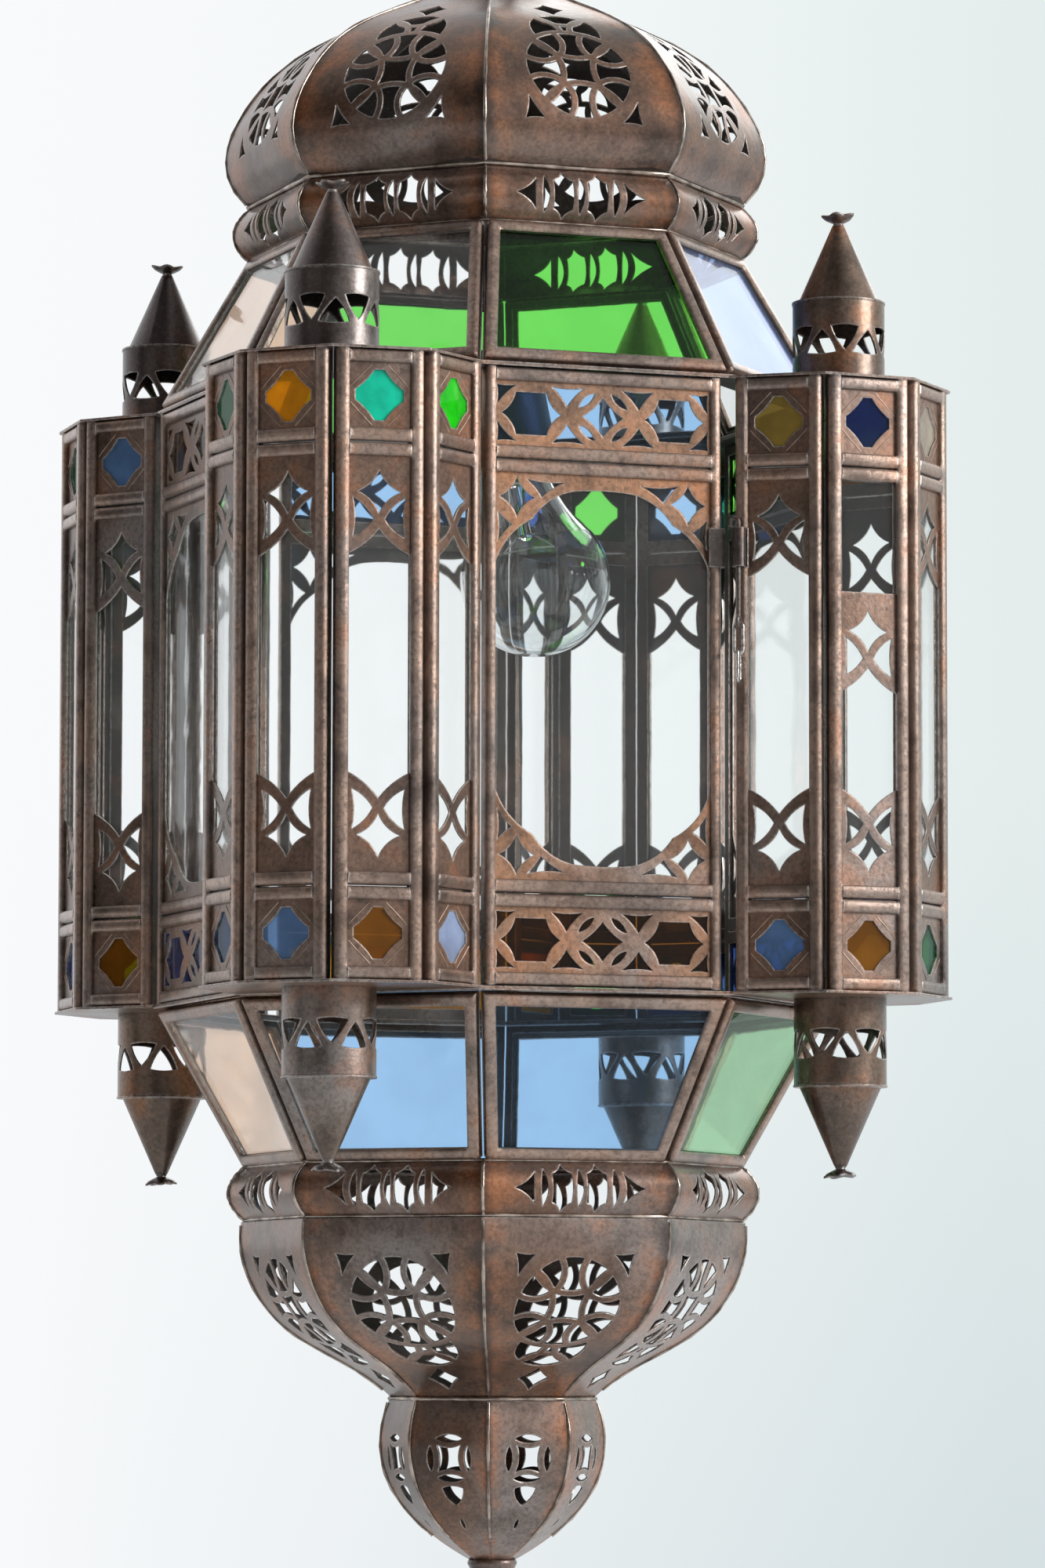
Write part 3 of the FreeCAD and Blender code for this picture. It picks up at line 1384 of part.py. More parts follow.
def make_all():
    make_panels()
    make_door()
    make_hoop("upper_hoop", Z_TOP)
    make_hoop("lower_hoop", Z_LOWER_HOOP)
    make_slopes()
    make_gores()
    make_finial_tip()
    make_tower_plates()
    make_turrets()
    make_crown_cap()
    make_crown_nipple()
    make_hanging_loop()
    make_bulb()
    make_flex(make_lampholder())
    make_door_clip()
    make_tower_clip()
    make_latch_pin()
    make_links()


def write_parts():
    doc.recompute()
    for obj in doc.Objects:
        check(obj)
    for obj in nodes:
        if obj.Shape.isNull() or not obj.Shape.isValid():
            raise ValueError(f"{obj.Label} has no valid shape")
    os.makedirs("parts", exist_ok=True)
    for obj in nodes:
        obj.Shape.exportStep(f"parts/{obj.Label}.step")


make_all()
write_parts()
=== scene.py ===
import math
import random

import bpy
from mathutils import Matrix, Vector
from mathutils.bvhtree import BVHTree


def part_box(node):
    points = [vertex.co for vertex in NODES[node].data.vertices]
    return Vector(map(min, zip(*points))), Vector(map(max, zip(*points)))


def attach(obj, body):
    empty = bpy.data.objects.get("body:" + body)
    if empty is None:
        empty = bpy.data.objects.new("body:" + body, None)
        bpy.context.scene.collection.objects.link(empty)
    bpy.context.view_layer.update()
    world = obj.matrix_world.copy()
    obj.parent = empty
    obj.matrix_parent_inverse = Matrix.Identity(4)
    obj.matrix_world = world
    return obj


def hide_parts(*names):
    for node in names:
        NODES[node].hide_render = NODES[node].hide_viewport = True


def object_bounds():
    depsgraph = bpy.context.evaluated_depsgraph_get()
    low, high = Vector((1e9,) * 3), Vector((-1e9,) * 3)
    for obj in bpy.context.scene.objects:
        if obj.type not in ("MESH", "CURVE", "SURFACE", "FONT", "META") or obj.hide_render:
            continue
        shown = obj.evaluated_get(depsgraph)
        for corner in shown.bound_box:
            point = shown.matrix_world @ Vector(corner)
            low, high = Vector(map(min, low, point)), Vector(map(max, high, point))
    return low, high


# A hanging lantern of pierced brown metal with clear and coloured panes. Metres, +Z up, door towards -Y.

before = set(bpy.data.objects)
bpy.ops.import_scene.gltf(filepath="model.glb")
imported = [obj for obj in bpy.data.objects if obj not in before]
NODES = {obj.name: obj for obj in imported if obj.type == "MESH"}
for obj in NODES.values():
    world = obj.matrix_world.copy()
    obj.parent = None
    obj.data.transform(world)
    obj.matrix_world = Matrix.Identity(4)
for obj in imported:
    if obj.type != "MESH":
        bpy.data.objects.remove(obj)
CAD_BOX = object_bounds()
SCENE = bpy.context.scene
UP = Vector((0, 0, 1))
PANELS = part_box("side_frames")
PANEL_MIDDLE = (PANELS[0].z + PANELS[1].z) / 2

# Plan: eight sides, with a tower of five panels at every other one
SIDES = 8
SIDE_TURN = 360 // SIDES
HALF_SIDE = math.radians(SIDE_TURN / 2)
SEAMS = [math.radians(SIDE_TURN * (number + 0.5)) for number in range(SIDES)]
TOWER_AXES = {"tower_1": -135, "tower_2": -45, "tower_3": 45, "tower_4": 135}
TOWER_REACH = 0.135
PANEL_OFFSETS = (-18.5, -10.5, 0, 10.5, 18.5)
PANEL_TURN = 41
MIDDLE_PANEL = 3

# Camera: fitted to the panel corners
CAMERA_AZIMUTH = math.radians(-20.2)
CAMERA_DISTANCE = 2.592
CAMERA_ASIDE = -0.0035
CAMERA_BELOW_PANELS = 0.375
CAMERA_PITCH = math.radians(5.03)
CAMERA_YAW = math.radians(0.327)
CAMERA_ROLL = math.radians(0.105)
CAMERA_LENS = 151.6
CAMERA_SENSOR = 36
CAMERA_SIGHT = 100
CAMERA_OUT = Vector((math.sin(CAMERA_AZIMUTH), -math.cos(CAMERA_AZIMUTH), 0))
CAMERA_RIGHT = Vector((math.cos(CAMERA_AZIMUTH), math.sin(CAMERA_AZIMUTH), 0))


def linear(red, green, blue):
    """Colour written as it shows on a screen, from 0 to 255."""
    def channel(value):
        share = value / 255
        return share / 12.92 if share <= 0.04045 else ((share + 0.055) / 1.055) ** 2.4

    return (channel(red), channel(green), channel(blue), 1)


def heading(azimuth):
    return Vector((math.cos(azimuth), math.sin(azimuth), 0))


def spread(first, last, count):
    return [first + (last - first) * step / (count - 1) for step in range(count)]


# Node helpers


class Graph:
    """A node tree whose nodes are added by short calls."""

    def __init__(self, tree):
        self.tree = tree

    def node(self, kind, **settings):
        made = self.tree.nodes.new(kind)
        for key, value in settings.items():
            setattr(made, key, value)
        return made

    def feed(self, node, socket, value):
        """Joins an output to a socket, or sets the socket's own value."""
        if isinstance(value, bpy.types.NodeSocket):
            self.tree.links.new(value, node.inputs[socket])
        else:
            node.inputs[socket].default_value = value

    def ramp(self, value, stops):
        ramp = self.node("ShaderNodeValToRGB")
        elements = ramp.color_ramp.elements
        while len(elements) < len(stops):
            elements.new(0.5)
        for element, (position, colour) in zip(elements, stops):
            element.position = position
            element.color = colour if isinstance(colour, tuple) else (colour, colour, colour, 1)
        self.feed(ramp, "Fac", value)
        return ramp.outputs["Color"]

    def mix(self, factor, first, second):
        """Mix of two colours, which are inputs 6 and 7 of the node. Output 2 is their mix."""
        mixer = self.node("ShaderNodeMix", data_type="RGBA")
        self.feed(mixer, 0, factor)
        self.feed(mixer, 6, first)
        self.feed(mixer, 7, second)
        return mixer.outputs[2]

    def math(self, operation, first, second):
        made = self.node("ShaderNodeMath", operation=operation, use_clamp=True)
        self.feed(made, 0, first)
        self.feed(made, 1, second)
        return made.outputs[0]

    def along(self, vector, direction, start, end):
        """Share of the way from start to end that a vector reaches along a direction."""
        product = self.node("ShaderNodeVectorMath", operation="DOT_PRODUCT")
        self.feed(product, 0, vector)
        self.feed(product, 1, direction)
        share = self.node("ShaderNodeMapRange")
        self.feed(share, "Value", product.outputs["Value"])
        self.feed(share, "From Min", start)
        self.feed(share, "From Max", end)
        return share.outputs["Result"]


class Finish(Graph):
    """A material on one Principled shader."""

    def __init__(self, name):
        self.material = bpy.data.materials.new(name)
        self.material.use_nodes = True
        super().__init__(self.material.node_tree)
        self.surface = self.tree.nodes["Principled BSDF"]

    def set(self, **values):
        for socket, value in values.items():
            self.feed(self.surface, socket.replace("_", " "), value)

    def place(self):
        """Position in the frame at rest."""
        return self.node("ShaderNodeTexCoord").outputs["Object"]

    def noise(self, scale, detail, roughness):
        texture = self.node("ShaderNodeTexNoise")
        self.feed(texture, "Vector", self.place())
        self.feed(texture, "Scale", scale)
        self.feed(texture, "Detail", detail)
        self.feed(texture, "Roughness", roughness)
        return texture.outputs["Fac"]

    def bump(self, height, distance, strength, below=None):
        """Normal of a bumpy surface, on top of the bumps below it."""
        made = self.node("ShaderNodeBump")
        self.feed(made, "Height", height)
        self.feed(made, "Distance", distance)
        self.feed(made, "Strength", strength)
        if below:
            self.feed(made, "Normal", below)
        return made.outputs["Normal"]

    def rounding(self, radius):
        """Normal that rounds the edges."""
        bevel = self.node("ShaderNodeBevel", samples=4)
        self.feed(bevel, "Radius", radius)
        return bevel.outputs["Normal"]

    def edges(self, radius):
        """High along the edges, where the metal is rubbed bare and where a highlight is painted."""
        geometry = self.node("ShaderNodeNewGeometry")
        product = self.node("ShaderNodeVectorMath", operation="DOT_PRODUCT")
        self.feed(product, 0, self.rounding(radius))
        self.feed(product, 1, geometry.outputs["Normal"])
        return self.ramp(product.outputs["Value"], [(0.80, 1.0), (0.985, 0.0)])

    def corners(self, reach):
        """High in the inner corners, where dirt stays and where shade is painted."""
        hidden = self.node("ShaderNodeAmbientOcclusion", samples=4, only_local=True)
        self.feed(hidden, "Distance", reach)
        return self.ramp(hidden.outputs["AO"], [(0.35, 0.75), (0.75, 0.0)])

    def from_seam(self):
        """0 on the seams between the gores and 1 in the middle of each gore."""
        axes = self.node("ShaderNodeSeparateXYZ")
        self.feed(axes, 0, self.place())
        azimuth = self.node("ShaderNodeMath", operation="ARCTAN2")
        self.feed(azimuth, 0, axes.outputs["Y"])
        self.feed(azimuth, 1, axes.outputs["X"])
        turned = self.node("ShaderNodeMath", operation="ADD")
        self.feed(turned, 0, azimuth.outputs[0])
        self.feed(turned, 1, HALF_SIDE)
        folded = self.node("ShaderNodeMath", operation="PINGPONG")
        self.feed(folded, 0, turned.outputs[0])
        self.feed(folded, 1, HALF_SIDE)
        return self.math("DIVIDE", folded.outputs[0], HALF_SIDE)


# Metals: tones, noise scales from broad to fine, depths of bumps, and widths of worn, painted-highlit edges
# and of dirt with painted shade

DARK = linear(50, 39, 33)
DIRT_AND_SHADE = linear(36, 28, 24)
GREY = linear(136, 127, 122)
RUST = linear(172, 106, 60)
WORN_AND_HIGHLIGHT = linear(228, 220, 214)
CLOUD_SCALE = 11
DENT_SCALE = 30
BLOTCH_SCALE = 44
SPECK_SCALE = 230
GRAIN_SCALE = 620
DENT_DEPTH = 0.002
SPECK_DEPTH = 0.0005
GRAIN_DEPTH = 0.0002
FINE_DEPTH = 0.0001
ROUNDING = 0.001
CAME_ROUNDING = 0.0026
EDGE_WIDTH = 0.001
DIRT_AND_SHADE_WIDTH = 0.004
RIM_SHARE = 0.5


def patina(name, brown, warm, rust=0.4, wear_and_highlight=0.8, dull=(0.24, 0.42), metallic=0.6, dents=0.3, grit=0.3,
           round_to=ROUNDING, rim=None):
    """Old brown metal: cloudy, rusty in places, dirty and darkened by painted shade in its corners, and
    rubbed pale with a painted highlight along its edges.
    """
    finish = Finish(name)
    clouds = finish.noise(CLOUD_SCALE, 3, 0.5)
    blotches = finish.noise(BLOTCH_SCALE, 5, 0.6)
    specks = finish.noise(SPECK_SCALE, 3, 0.6)
    grain = finish.noise(GRAIN_SCALE, 3, 0.7)
    tone = finish.ramp(clouds, [(0.36, brown), (0.52, warm), (0.68, GREY)])
    if rim:
        tone = rimmed(finish, tone, rim, blotches)
    tone = finish.mix(finish.ramp(blotches, [(0.28, 0.7), (0.50, 0.0)]), tone, DARK)
    tone = finish.mix(finish.ramp(blotches, [(0.53, 0.0), (0.70, rust)]), tone, RUST)
    tone = finish.mix(finish.ramp(specks, [(0.30, 0.4), (0.44, 0.0)]), tone, DARK)
    tone = finish.mix(finish.ramp(grain, [(0.36, 0.4), (0.56, 0.0)]), tone, DARK)
    tone = finish.mix(finish.ramp(grain, [(0.58, 0.0), (0.74, 0.3)]), tone, GREY)
    # Painted shade and dirt: darker in the inner corners, found by ambient occlusion.
    tone = finish.mix(finish.corners(DIRT_AND_SHADE_WIDTH), tone, DIRT_AND_SHADE)
    # Pale edges: rubbed metal, with a painted highlight along them as well.
    worn_and_highlit = finish.ramp(grain, [(0.36, 0.25 * wear_and_highlight), (0.58, wear_and_highlight)])
    bare_and_highlit = finish.math("MULTIPLY", finish.edges(EDGE_WIDTH), worn_and_highlit)
    smooth, rough = dull
    rounded = finish.rounding(round_to)
    hammered = finish.bump(finish.noise(DENT_SCALE, 2, 0.4), DENT_DEPTH, dents, rounded)
    pitted = finish.bump(specks, SPECK_DEPTH, grit, hammered)
    finish.set(
        Base_Color=finish.mix(bare_and_highlit, tone, WORN_AND_HIGHLIGHT),
        Roughness=finish.ramp(blotches, [(0.3, smooth), (0.7, rough)]),
        Normal=finish.bump(grain, GRAIN_DEPTH, grit, pitted),
        Metallic=metallic,
        Coat_Weight=0.3,
        Coat_Roughness=0.25,
    )
    return finish.material


def rimmed(finish, tone, rim, blotches):
    """Rust and dirt along the seams of a gored shell, and a greyed band from a height to its rim."""
    start, end = rim
    seam = finish.from_seam()
    stained = finish.math("MULTIPLY", finish.ramp(seam, [(0.05, 0.65), (0.40, 0.0)]),
                          finish.ramp(blotches, [(0.42, 0.0), (0.56, 1.0)]))
    tone = finish.mix(stained, tone, RUST)
    tone = finish.mix(finish.ramp(seam, [(0.03, 0.75), (0.12, 0.0)]), tone, DIRT_AND_SHADE)
    band = finish.along(finish.place(), UP, start, end)
    return finish.mix(finish.math("MULTIPLY", band, RIM_SHARE), tone, GREY)


def grained(name, dark, light, scale, **values):
    """A finish that runs from a dark to a light tone in its grain."""
    finish = Finish(name)
    grain = finish.noise(scale, 3, 0.6)
    finish.set(
        Base_Color=finish.ramp(grain, [(0.34, dark), (0.66, light)]),
        Normal=finish.bump(grain, FINE_DEPTH, 0.3),
        **values,
    )
    return finish.material


# Glass: tint, and how milky it is

SHADES = {
    "clear": (linear(254, 255, 255), 0.01),
    "green": (linear(120, 232, 98), 0.0),
    "bright_green": (linear(44, 222, 36), 0.5),
    "pale_green": (linear(176, 226, 180), 0.0),
    "deep_teal": (linear(56, 142, 100), 0.35),
    "teal": (linear(40, 165, 135), 0.1),
    "turquoise": (linear(24, 222, 184), 0.75),
    "amber": (linear(254, 172, 12), 0.45),
    "dark_amber": (linear(176, 108, 28), 0.0),
    "olive_amber": (linear(176, 146, 68), 0.5),
    "brown_amber": (linear(160, 100, 20), 0.35),
    "blue": (linear(70, 112, 196), 0.1),
    "sky_blue": (linear(166, 208, 250), 0.0),
    "steel_blue": (linear(122, 158, 204), 0.4),
    "deep_blue": (linear(36, 78, 168), 0.1),
    "pale_blue": (linear(176, 196, 244), 0.1),
    "lilac": (linear(176, 192, 224), 0.5),
    "smoke": (linear(188, 184, 178), 0.1),
    "milky_smoke": (linear(176, 162, 148), 0.6),
    "peach": (linear(254, 220, 194), 0.1),
}

# Panes whose shade differs from the rest of their colour: tower, level and panel, or face, level and azimuth
SHADE_AT = {
    ("tower_1", "upper", 2): "deep_teal",
    ("tower_1", "upper", 4): "turquoise",
    ("tower_1", "upper", 5): "bright_green",
    ("tower_1", "lower", 3): "steel_blue",
    ("tower_1", "lower", 4): "brown_amber",
    ("tower_1", "lower", 5): "lilac",
    ("tower_2", "upper", 1): "olive_amber",
    ("tower_2", "upper", 2): "deep_blue",
    ("tower_2", "upper", 3): "milky_smoke",
    ("tower_2", "lower", 1): "steel_blue",
    ("tower_2", "lower", 2): "brown_amber",
    ("tower_3", "upper", 3): "sky_blue",
    ("tower_3", "upper", 4): "green",
    ("tower_4", "upper", 5): "steel_blue",
    ("tower_4", "lower", 5): "brown_amber",
    ("face", "upper", 90): "sky_blue",
    ("face", "upper", 180): "dark_amber",
    ("face", "lower", 180): "deep_blue",
    ("face", "slope", 315): "pale_green",
}

# Clouds in the panes: scales in even and in milky glass, how milky counts as milky, share of the tint
# that is left in a cloud and how much less milk leaves, and scale and depth of the waves on a face
EVEN_SCALE = 40
MILKY_SCALE = 90
MILKY_FROM = 0.2
CLOUD_TINT = 0.93
MILK_LOSS = 0.5
WAVE_SCALE = 48
WAVE_DEPTH = 0.0006


def pane_glass(shade, tint, milk):
    """Hand-made pane: its face is not quite even, and a milky one is cloudy and scatters some light."""
    finish = Finish(f"{shade}_glass")
    deep = tuple(channel * (CLOUD_TINT - MILK_LOSS * milk) for channel in tint[:3]) + (1,)
    clouds = finish.noise(MILKY_SCALE if milk > MILKY_FROM else EVEN_SCALE, 3, 0.5)
    drift = finish.ramp(clouds, [(0.35, deep), (0.65, tint)])
    finish.set(
        Base_Color=tint if shade == "clear" else drift,
        Normal=finish.bump(finish.noise(WAVE_SCALE, 2, 0.4), WAVE_DEPTH, 0.12),
        Transmission_Weight=1 - milk,
        Roughness=0.03,
        IOR=1.25,
    )
    return finish.material


GLASS = {shade: pane_glass(shade, *look) for shade, look in SHADES.items()}

# Where finishes go: angle of a sharp edge, and how far a normal points out from a cut wall or a back

SHARP_ANGLE = math.radians(32)
ACROSS_SHEET = 0.5
INWARDS = -0.35


def place_of(point):
    """Tower, level and panel number of a point on a panel, or face, level and azimuth."""
    level = "upper" if point.z > PANEL_MIDDLE else "lower"
    azimuth = math.degrees(math.atan2(point.y, point.x))
    if not PANELS[0].z < point.z < PANELS[1].z:
        level = "roof" if level == "upper" else "slope"
    elif math.hypot(point.x, point.y) > TOWER_REACH:
        for tower, axis in TOWER_AXES.items():
            offset = (azimuth - axis + 180) % 360 - 180
            if abs(offset) < SIDE_TURN / 2:
                nearest = min(PANEL_OFFSETS, key=lambda middle: abs(offset - middle))
                return tower, level, 1 + PANEL_OFFSETS.index(nearest)
    return "face", level, round(azimuth / SIDE_TURN) * SIDE_TURN % 360


def outward(place):
    """Direction that a panel faces."""
    owner, _, number = place
    azimuth = number if owner == "face" else TOWER_AXES[owner] + PANEL_TURN * (number - MIDDLE_PANEL)
    return heading(math.radians(azimuth))


def dress(node, material):
    """Gives a CAD node one material and smooth rounded faces with sharp edges."""
    mesh = NODES[node].data
    mesh.materials.clear()
    mesh.materials.append(material)
    mesh.shade_smooth()
    mesh.set_sharp_from_angle(angle=SHARP_ANGLE)


def dress_faces(node, material, chosen):
    """Gives those faces of a node that a test chooses a finish of their own."""
    mesh = NODES[node].data
    slot = len(mesh.materials)
    mesh.materials.append(material)
    for face in mesh.polygons:
        if chosen(face):
            face.material_index = slot


def is_cut(face):
    """A wall of a piercing in a flat sheet."""
    return abs(face.normal.dot(outward(place_of(face.center)))) < ACROSS_SHEET


def is_on_lit_right(face):
    """On the right, the side that the key light falls on."""
    return face.center.x > 0


def is_back_of_panel(face):
    """Facing into the lantern on a flat panel."""
    return face.normal.dot(outward(place_of(face.center))) < INWARDS


def is_inside_shell(face):
    """Facing into the lantern on a sloping or round shell."""
    return face.normal.dot((face.center - UP * PANEL_MIDDLE).normalized()) < INWARDS


def dress_panes(node, colour):
    """Gives the panes of one colour their glass, each in its own shade."""
    dress(node, GLASS[colour])
    mesh = NODES[node].data
    slots = {colour: 0}
    for face in mesh.polygons:
        shade = SHADE_AT.get(place_of(face.center), colour)
        if shade not in slots:
            slots[shade] = len(slots)
            mesh.materials.append(GLASS[shade])
        face.material_index = slots[shade]


# Width of the greyed rim of each shell: from its low end up, or below 0 from its high end down
RIMS = {
    "dome": 0.016,
    "bowl": -0.022,
    "upper_ring": -0.006,
    "lower_ring": -0.006,
    "finial": -0.012,
    "crown_cap": 0.004,
}


def dress_shells():
    """Brown shells with greyed rims."""
    for name, width in RIMS.items():
        low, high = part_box(name)
        end = low.z if width > 0 else high.z
        dress(name, patina(f"brown_{name}", linear(96, 73, 59), linear(121, 89, 70), dull=(0.18, 0.34),
                           dents=0.5, grit=0.2, rim=(end + width, end)))


def dress_turrets():
    """Dark turrets above on the left, and browner ones above on the right and below: above, the right is
    painted lit and the left painted in shade.
    """
    smoked = patina("smoked_turret", linear(66, 60, 61), linear(82, 71, 67), rust=0.3, wear_and_highlight=0.9,
                    dull=(0.22, 0.36), metallic=0.65, dents=0.6, grit=0.2)
    weathered_and_lit = patina("weathered_and_lit_turret", linear(98, 85, 76), linear(120, 97, 80), rust=0.5, wear_and_highlight=0.9,
                       dull=(0.22, 0.36), metallic=0.7, dents=0.6, grit=0.2)
    for name in ("turret_tips", "finial_tip", "door_clip", "tower_clip", "latch_pin"):
        dress(name, smoked)
    for name in ("lower_galleries", "lower_cones"):
        dress(name, weathered_and_lit)
    for name in ("upper_galleries", "upper_cones"):
        dress(name, smoked)
        # Painted light: the right-hand faces of the upper turrets get the lighter finish, for the key
        # light's side.
        dress_faces(name, weathered_and_lit, is_on_lit_right)
    add_tips(smoked)


def dress_insides():
    """Darker insides of the shells, and duller, darker backs of the panels: painted shade inside the
    lantern.
    """
    # Painted shade: the faces inside the lantern get darker copies of the metal.
    inner_shade = patina("shaded_inside", linear(44, 36, 31), linear(56, 44, 37), rust=0.15, wear_and_highlight=0.4,
                  dull=(0.45, 0.6))
    dull = patina("dull_shaded_inside", linear(52, 44, 38), linear(66, 54, 46), rust=0.25, wear_and_highlight=0.6,
                  dull=(0.4, 0.6))
    for name in NODES:
        if name.endswith(("_ring", "_hoop", "roof_frames", "funnel_frames", "dome", "bowl", "finial")):
            dress_faces(name, inner_shade, is_inside_shell)
        elif name.endswith(("_frames", "_frame", "_sheets")):
            dress_faces(name, dull, is_back_of_panel)


def dress_metal():
    sheet = patina("brown_sheet", linear(110, 88, 76), linear(128, 98, 80), rust=0.45, wear_and_highlight=0.9)
    came = patina("brown_came", linear(155, 137, 127), linear(168, 142, 126), wear_and_highlight=1.0, dull=(0.16, 0.30),
                  metallic=0.8, dents=0.35, grit=0.1, round_to=CAME_ROUNDING)
    for name in NODES:
        dress(name, came if "frame" in name or "hoop" in name else sheet)
    rubbed = patina("rubbed_door", linear(144, 111, 88), linear(168, 123, 92), rust=0.5, wear_and_highlight=0.9)
    dress("door_sheets", rubbed)
    dress_shells()
    dress_turrets()
    dress_insides()
    # Bright walls of the piercings: bare metal at the cut, with a painted highlight along it as well.
    cut = grained("bright_cut", linear(150, 138, 128), linear(224, 216, 208), 500,
                  Metallic=0.7, Roughness=0.35)
    for name in ("side_sheets", "door_sheets", *(f"{tower}_sheets" for tower in TOWER_AXES)):
        dress_faces(name, cut, is_cut)
    wire = grained("worn_bright_wire", linear(150, 145, 140), linear(228, 224, 220), 900,
                   Metallic=1.0, Roughness=0.2)
    dress("link_upper", wire)
    dress("link_lower", wire)


def dress_glass():
    for colour in ("amber", "teal", "green", "blue", "smoke", "pale_blue"):
        dress_panes(f"band_panes_{colour}", colour)
    for colour in ("clear", "green", "pale_blue", "peach"):
        dress_panes(f"slope_panes_{colour}", colour)
    dress_panes("slope_panes_blue", "sky_blue")
    dress("window_panes", GLASS["clear"])
    dress("door_window_pane", GLASS["clear"])
    dress("door_upper_pane", GLASS["sky_blue"])
    dress("door_lower_pane", GLASS["dark_amber"])


def dress_lamp():
    clear = grained("lamp_glass", linear(246, 249, 250), linear(253, 254, 254), 30,
                    Transmission_Weight=1.0, Roughness=0.0, IOR=1.42)
    dress("bulb_glass", clear)
    dress("bulb_stem", clear)
    dress("bulb_cap", grained("screw_cap_metal", linear(168, 164, 156), linear(206, 203, 196), 500,
                              Metallic=1.0, Roughness=0.3))
    dress("bulb_filament", grained("filament_wire", linear(120, 118, 116), linear(170, 168, 166), 2000,
                                   Metallic=1.0, Roughness=0.35))
    black = grained("lampholder_plastic", linear(26, 25, 25), linear(40, 38, 38), 700, Roughness=0.45)
    dress("lampholder_cap", black)
    dress("lampholder_skirt", black)
    dress("inner_flex", grained("flex_sheath", linear(36, 33, 32), linear(52, 48, 46), 700, Roughness=0.5))


# Solder on the seams between the gores and between the tiers, and lines scribed round the gems

RAY_START = 0.4
JUST_BESIDE = math.radians(1.5)
OFF_RIDGE = math.radians(0.1)
SEAM_POINTS = 22
SEAM_RADIUS = 0.0007
SEAM_CENTRE = 0.02
JOINT_STEPS = 8

# Shells with seams: height of the rays' centre as a share of the shell's, and the first and last ray's angle
RING_SEAM = (0.5, -64, 64)
SEAMED = {
    "dome": (0.0, 1, 78),
    "bowl": (1.0, -1, -78),
    "upper_ring": RING_SEAM,
    "lower_ring": RING_SEAM,
    "finial": RING_SEAM,
}

# Joints between the tiers: node, its low (0) or high (1) end, height from there, and radius of the bead
JOINTS = {
    "dome_foot_solder": ("dome", 0, 0.0004, 0.0011),
    "roof_head_solder": ("upper_ring", 0, 0.0006, 0.0008),
    "funnel_foot_solder": ("lower_ring", 1, -0.0006, 0.0008),
    "bowl_head_solder": ("lower_ring", 0, 0.0006, 0.0009),
    "finial_head_solder": ("finial", 1, -0.0006, 0.0008),
}

# Lines beside a gem: points across and up from its middle, reach of the rays, and radius of the line
GEM_LINE = ((0.0030, 0.0114), (0.0058, 0.0086), (0.0086, 0.0058), (0.0112, 0.0030))
GEM_REACH = 0.01
GEM_LINE_RADIUS = 0.00022


def surface_tree(node):
    mesh = NODES[node].data
    points = [corner.co for corner in mesh.vertices]
    return BVHTree.FromPolygons(points, [face.vertices for face in mesh.polygons])


def add_bead(name, runs, radius, material, unevenness=0.3, closed=False):
    """Beads along runs of points, a little uneven in thickness."""
    curve = bpy.data.curves.new(name, "CURVE")
    curve.dimensions = "3D"
    curve.bevel_depth = radius
    curve.bevel_resolution = 1
    curve.use_fill_caps = True
    draws = random.Random(name)
    for run in runs:
        spline = curve.splines.new("POLY")
        spline.points.add(len(run) - 1)
        spline.use_cyclic_u = closed
        for point, place in zip(spline.points, run):
            point.co = (*place, 1)
            point.radius = draws.uniform(1 - unevenness, 1 + unevenness)
    bead = bpy.data.objects.new(name, curve)
    curve.materials.append(material)
    SCENE.collection.objects.link(bead)
    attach(bead, "lantern")


def seam_points(tree, azimuth, centre, angles):
    """Points on a shell at one azimuth, found by rays towards a centre (radius, height)."""
    radius, height = centre
    points = []
    for angle in angles:
        ray = heading(azimuth) * math.cos(angle) + UP * math.sin(angle)
        start = heading(azimuth) * radius + UP * height + ray * RAY_START
        hit = tree.ray_cast(start, -ray)[0]
        if hit:
            points.append(hit)
    return points


def add_seams(material):
    """Solder down the ridges between the gores of each shell."""
    for node, seam in SEAMED.items():
        share, first, last = seam
        low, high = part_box(node)
        inside = SEAM_CENTRE
        if seam == RING_SEAM:
            inside = max(high.x / math.cos(HALF_SIDE) - (high.z - low.z) / 2, 0)
        centre = (inside, low.lerp(high, share).z)
        angles = [math.radians(angle) for angle in spread(first, last, SEAM_POINTS)]
        tree = surface_tree(node)
        runs = [seam_points(tree, azimuth + OFF_RIDGE, centre, angles) for azimuth in SEAMS]
        add_bead(f"{node}_seams", runs, SEAM_RADIUS, material)


def add_joint(name, node, height, radius, material):
    """Eight-sided bead of solder round a shell at one height."""
    tree = surface_tree(node)
    hit = seam_points(tree, SEAMS[0] - JUST_BESIDE, (0, height), [0])[0]
    reach = hit.xy.length * math.cos(HALF_SIDE - JUST_BESIDE) / math.cos(HALF_SIDE)
    corners = [heading(azimuth) * reach + UP * height for azimuth in SEAMS]
    run = []
    for first, second in zip(corners, corners[1:] + corners[:1]):
        run += [first.lerp(second, step / JOINT_STEPS) for step in range(JOINT_STEPS)]
    add_bead(name, [run], radius, material, unevenness=0.25, closed=True)


def pane_centres():
    """Middle of each tower band's pane."""
    found = {}
    for name, node in NODES.items():
        if name.startswith("band_panes"):
            corners = node.data.vertices
            for face in node.data.polygons:
                place = place_of(face.center)
                if place[0] != "face":
                    found.setdefault(place, []).extend(corners[index].co for index in face.vertices)
    centres = {}
    for place, points in found.items():
        low = Vector(min(point[axis] for point in points) for axis in range(3))
        high = Vector(max(point[axis] for point in points) for axis in range(3))
        centres[place] = (low + high) / 2
    return centres


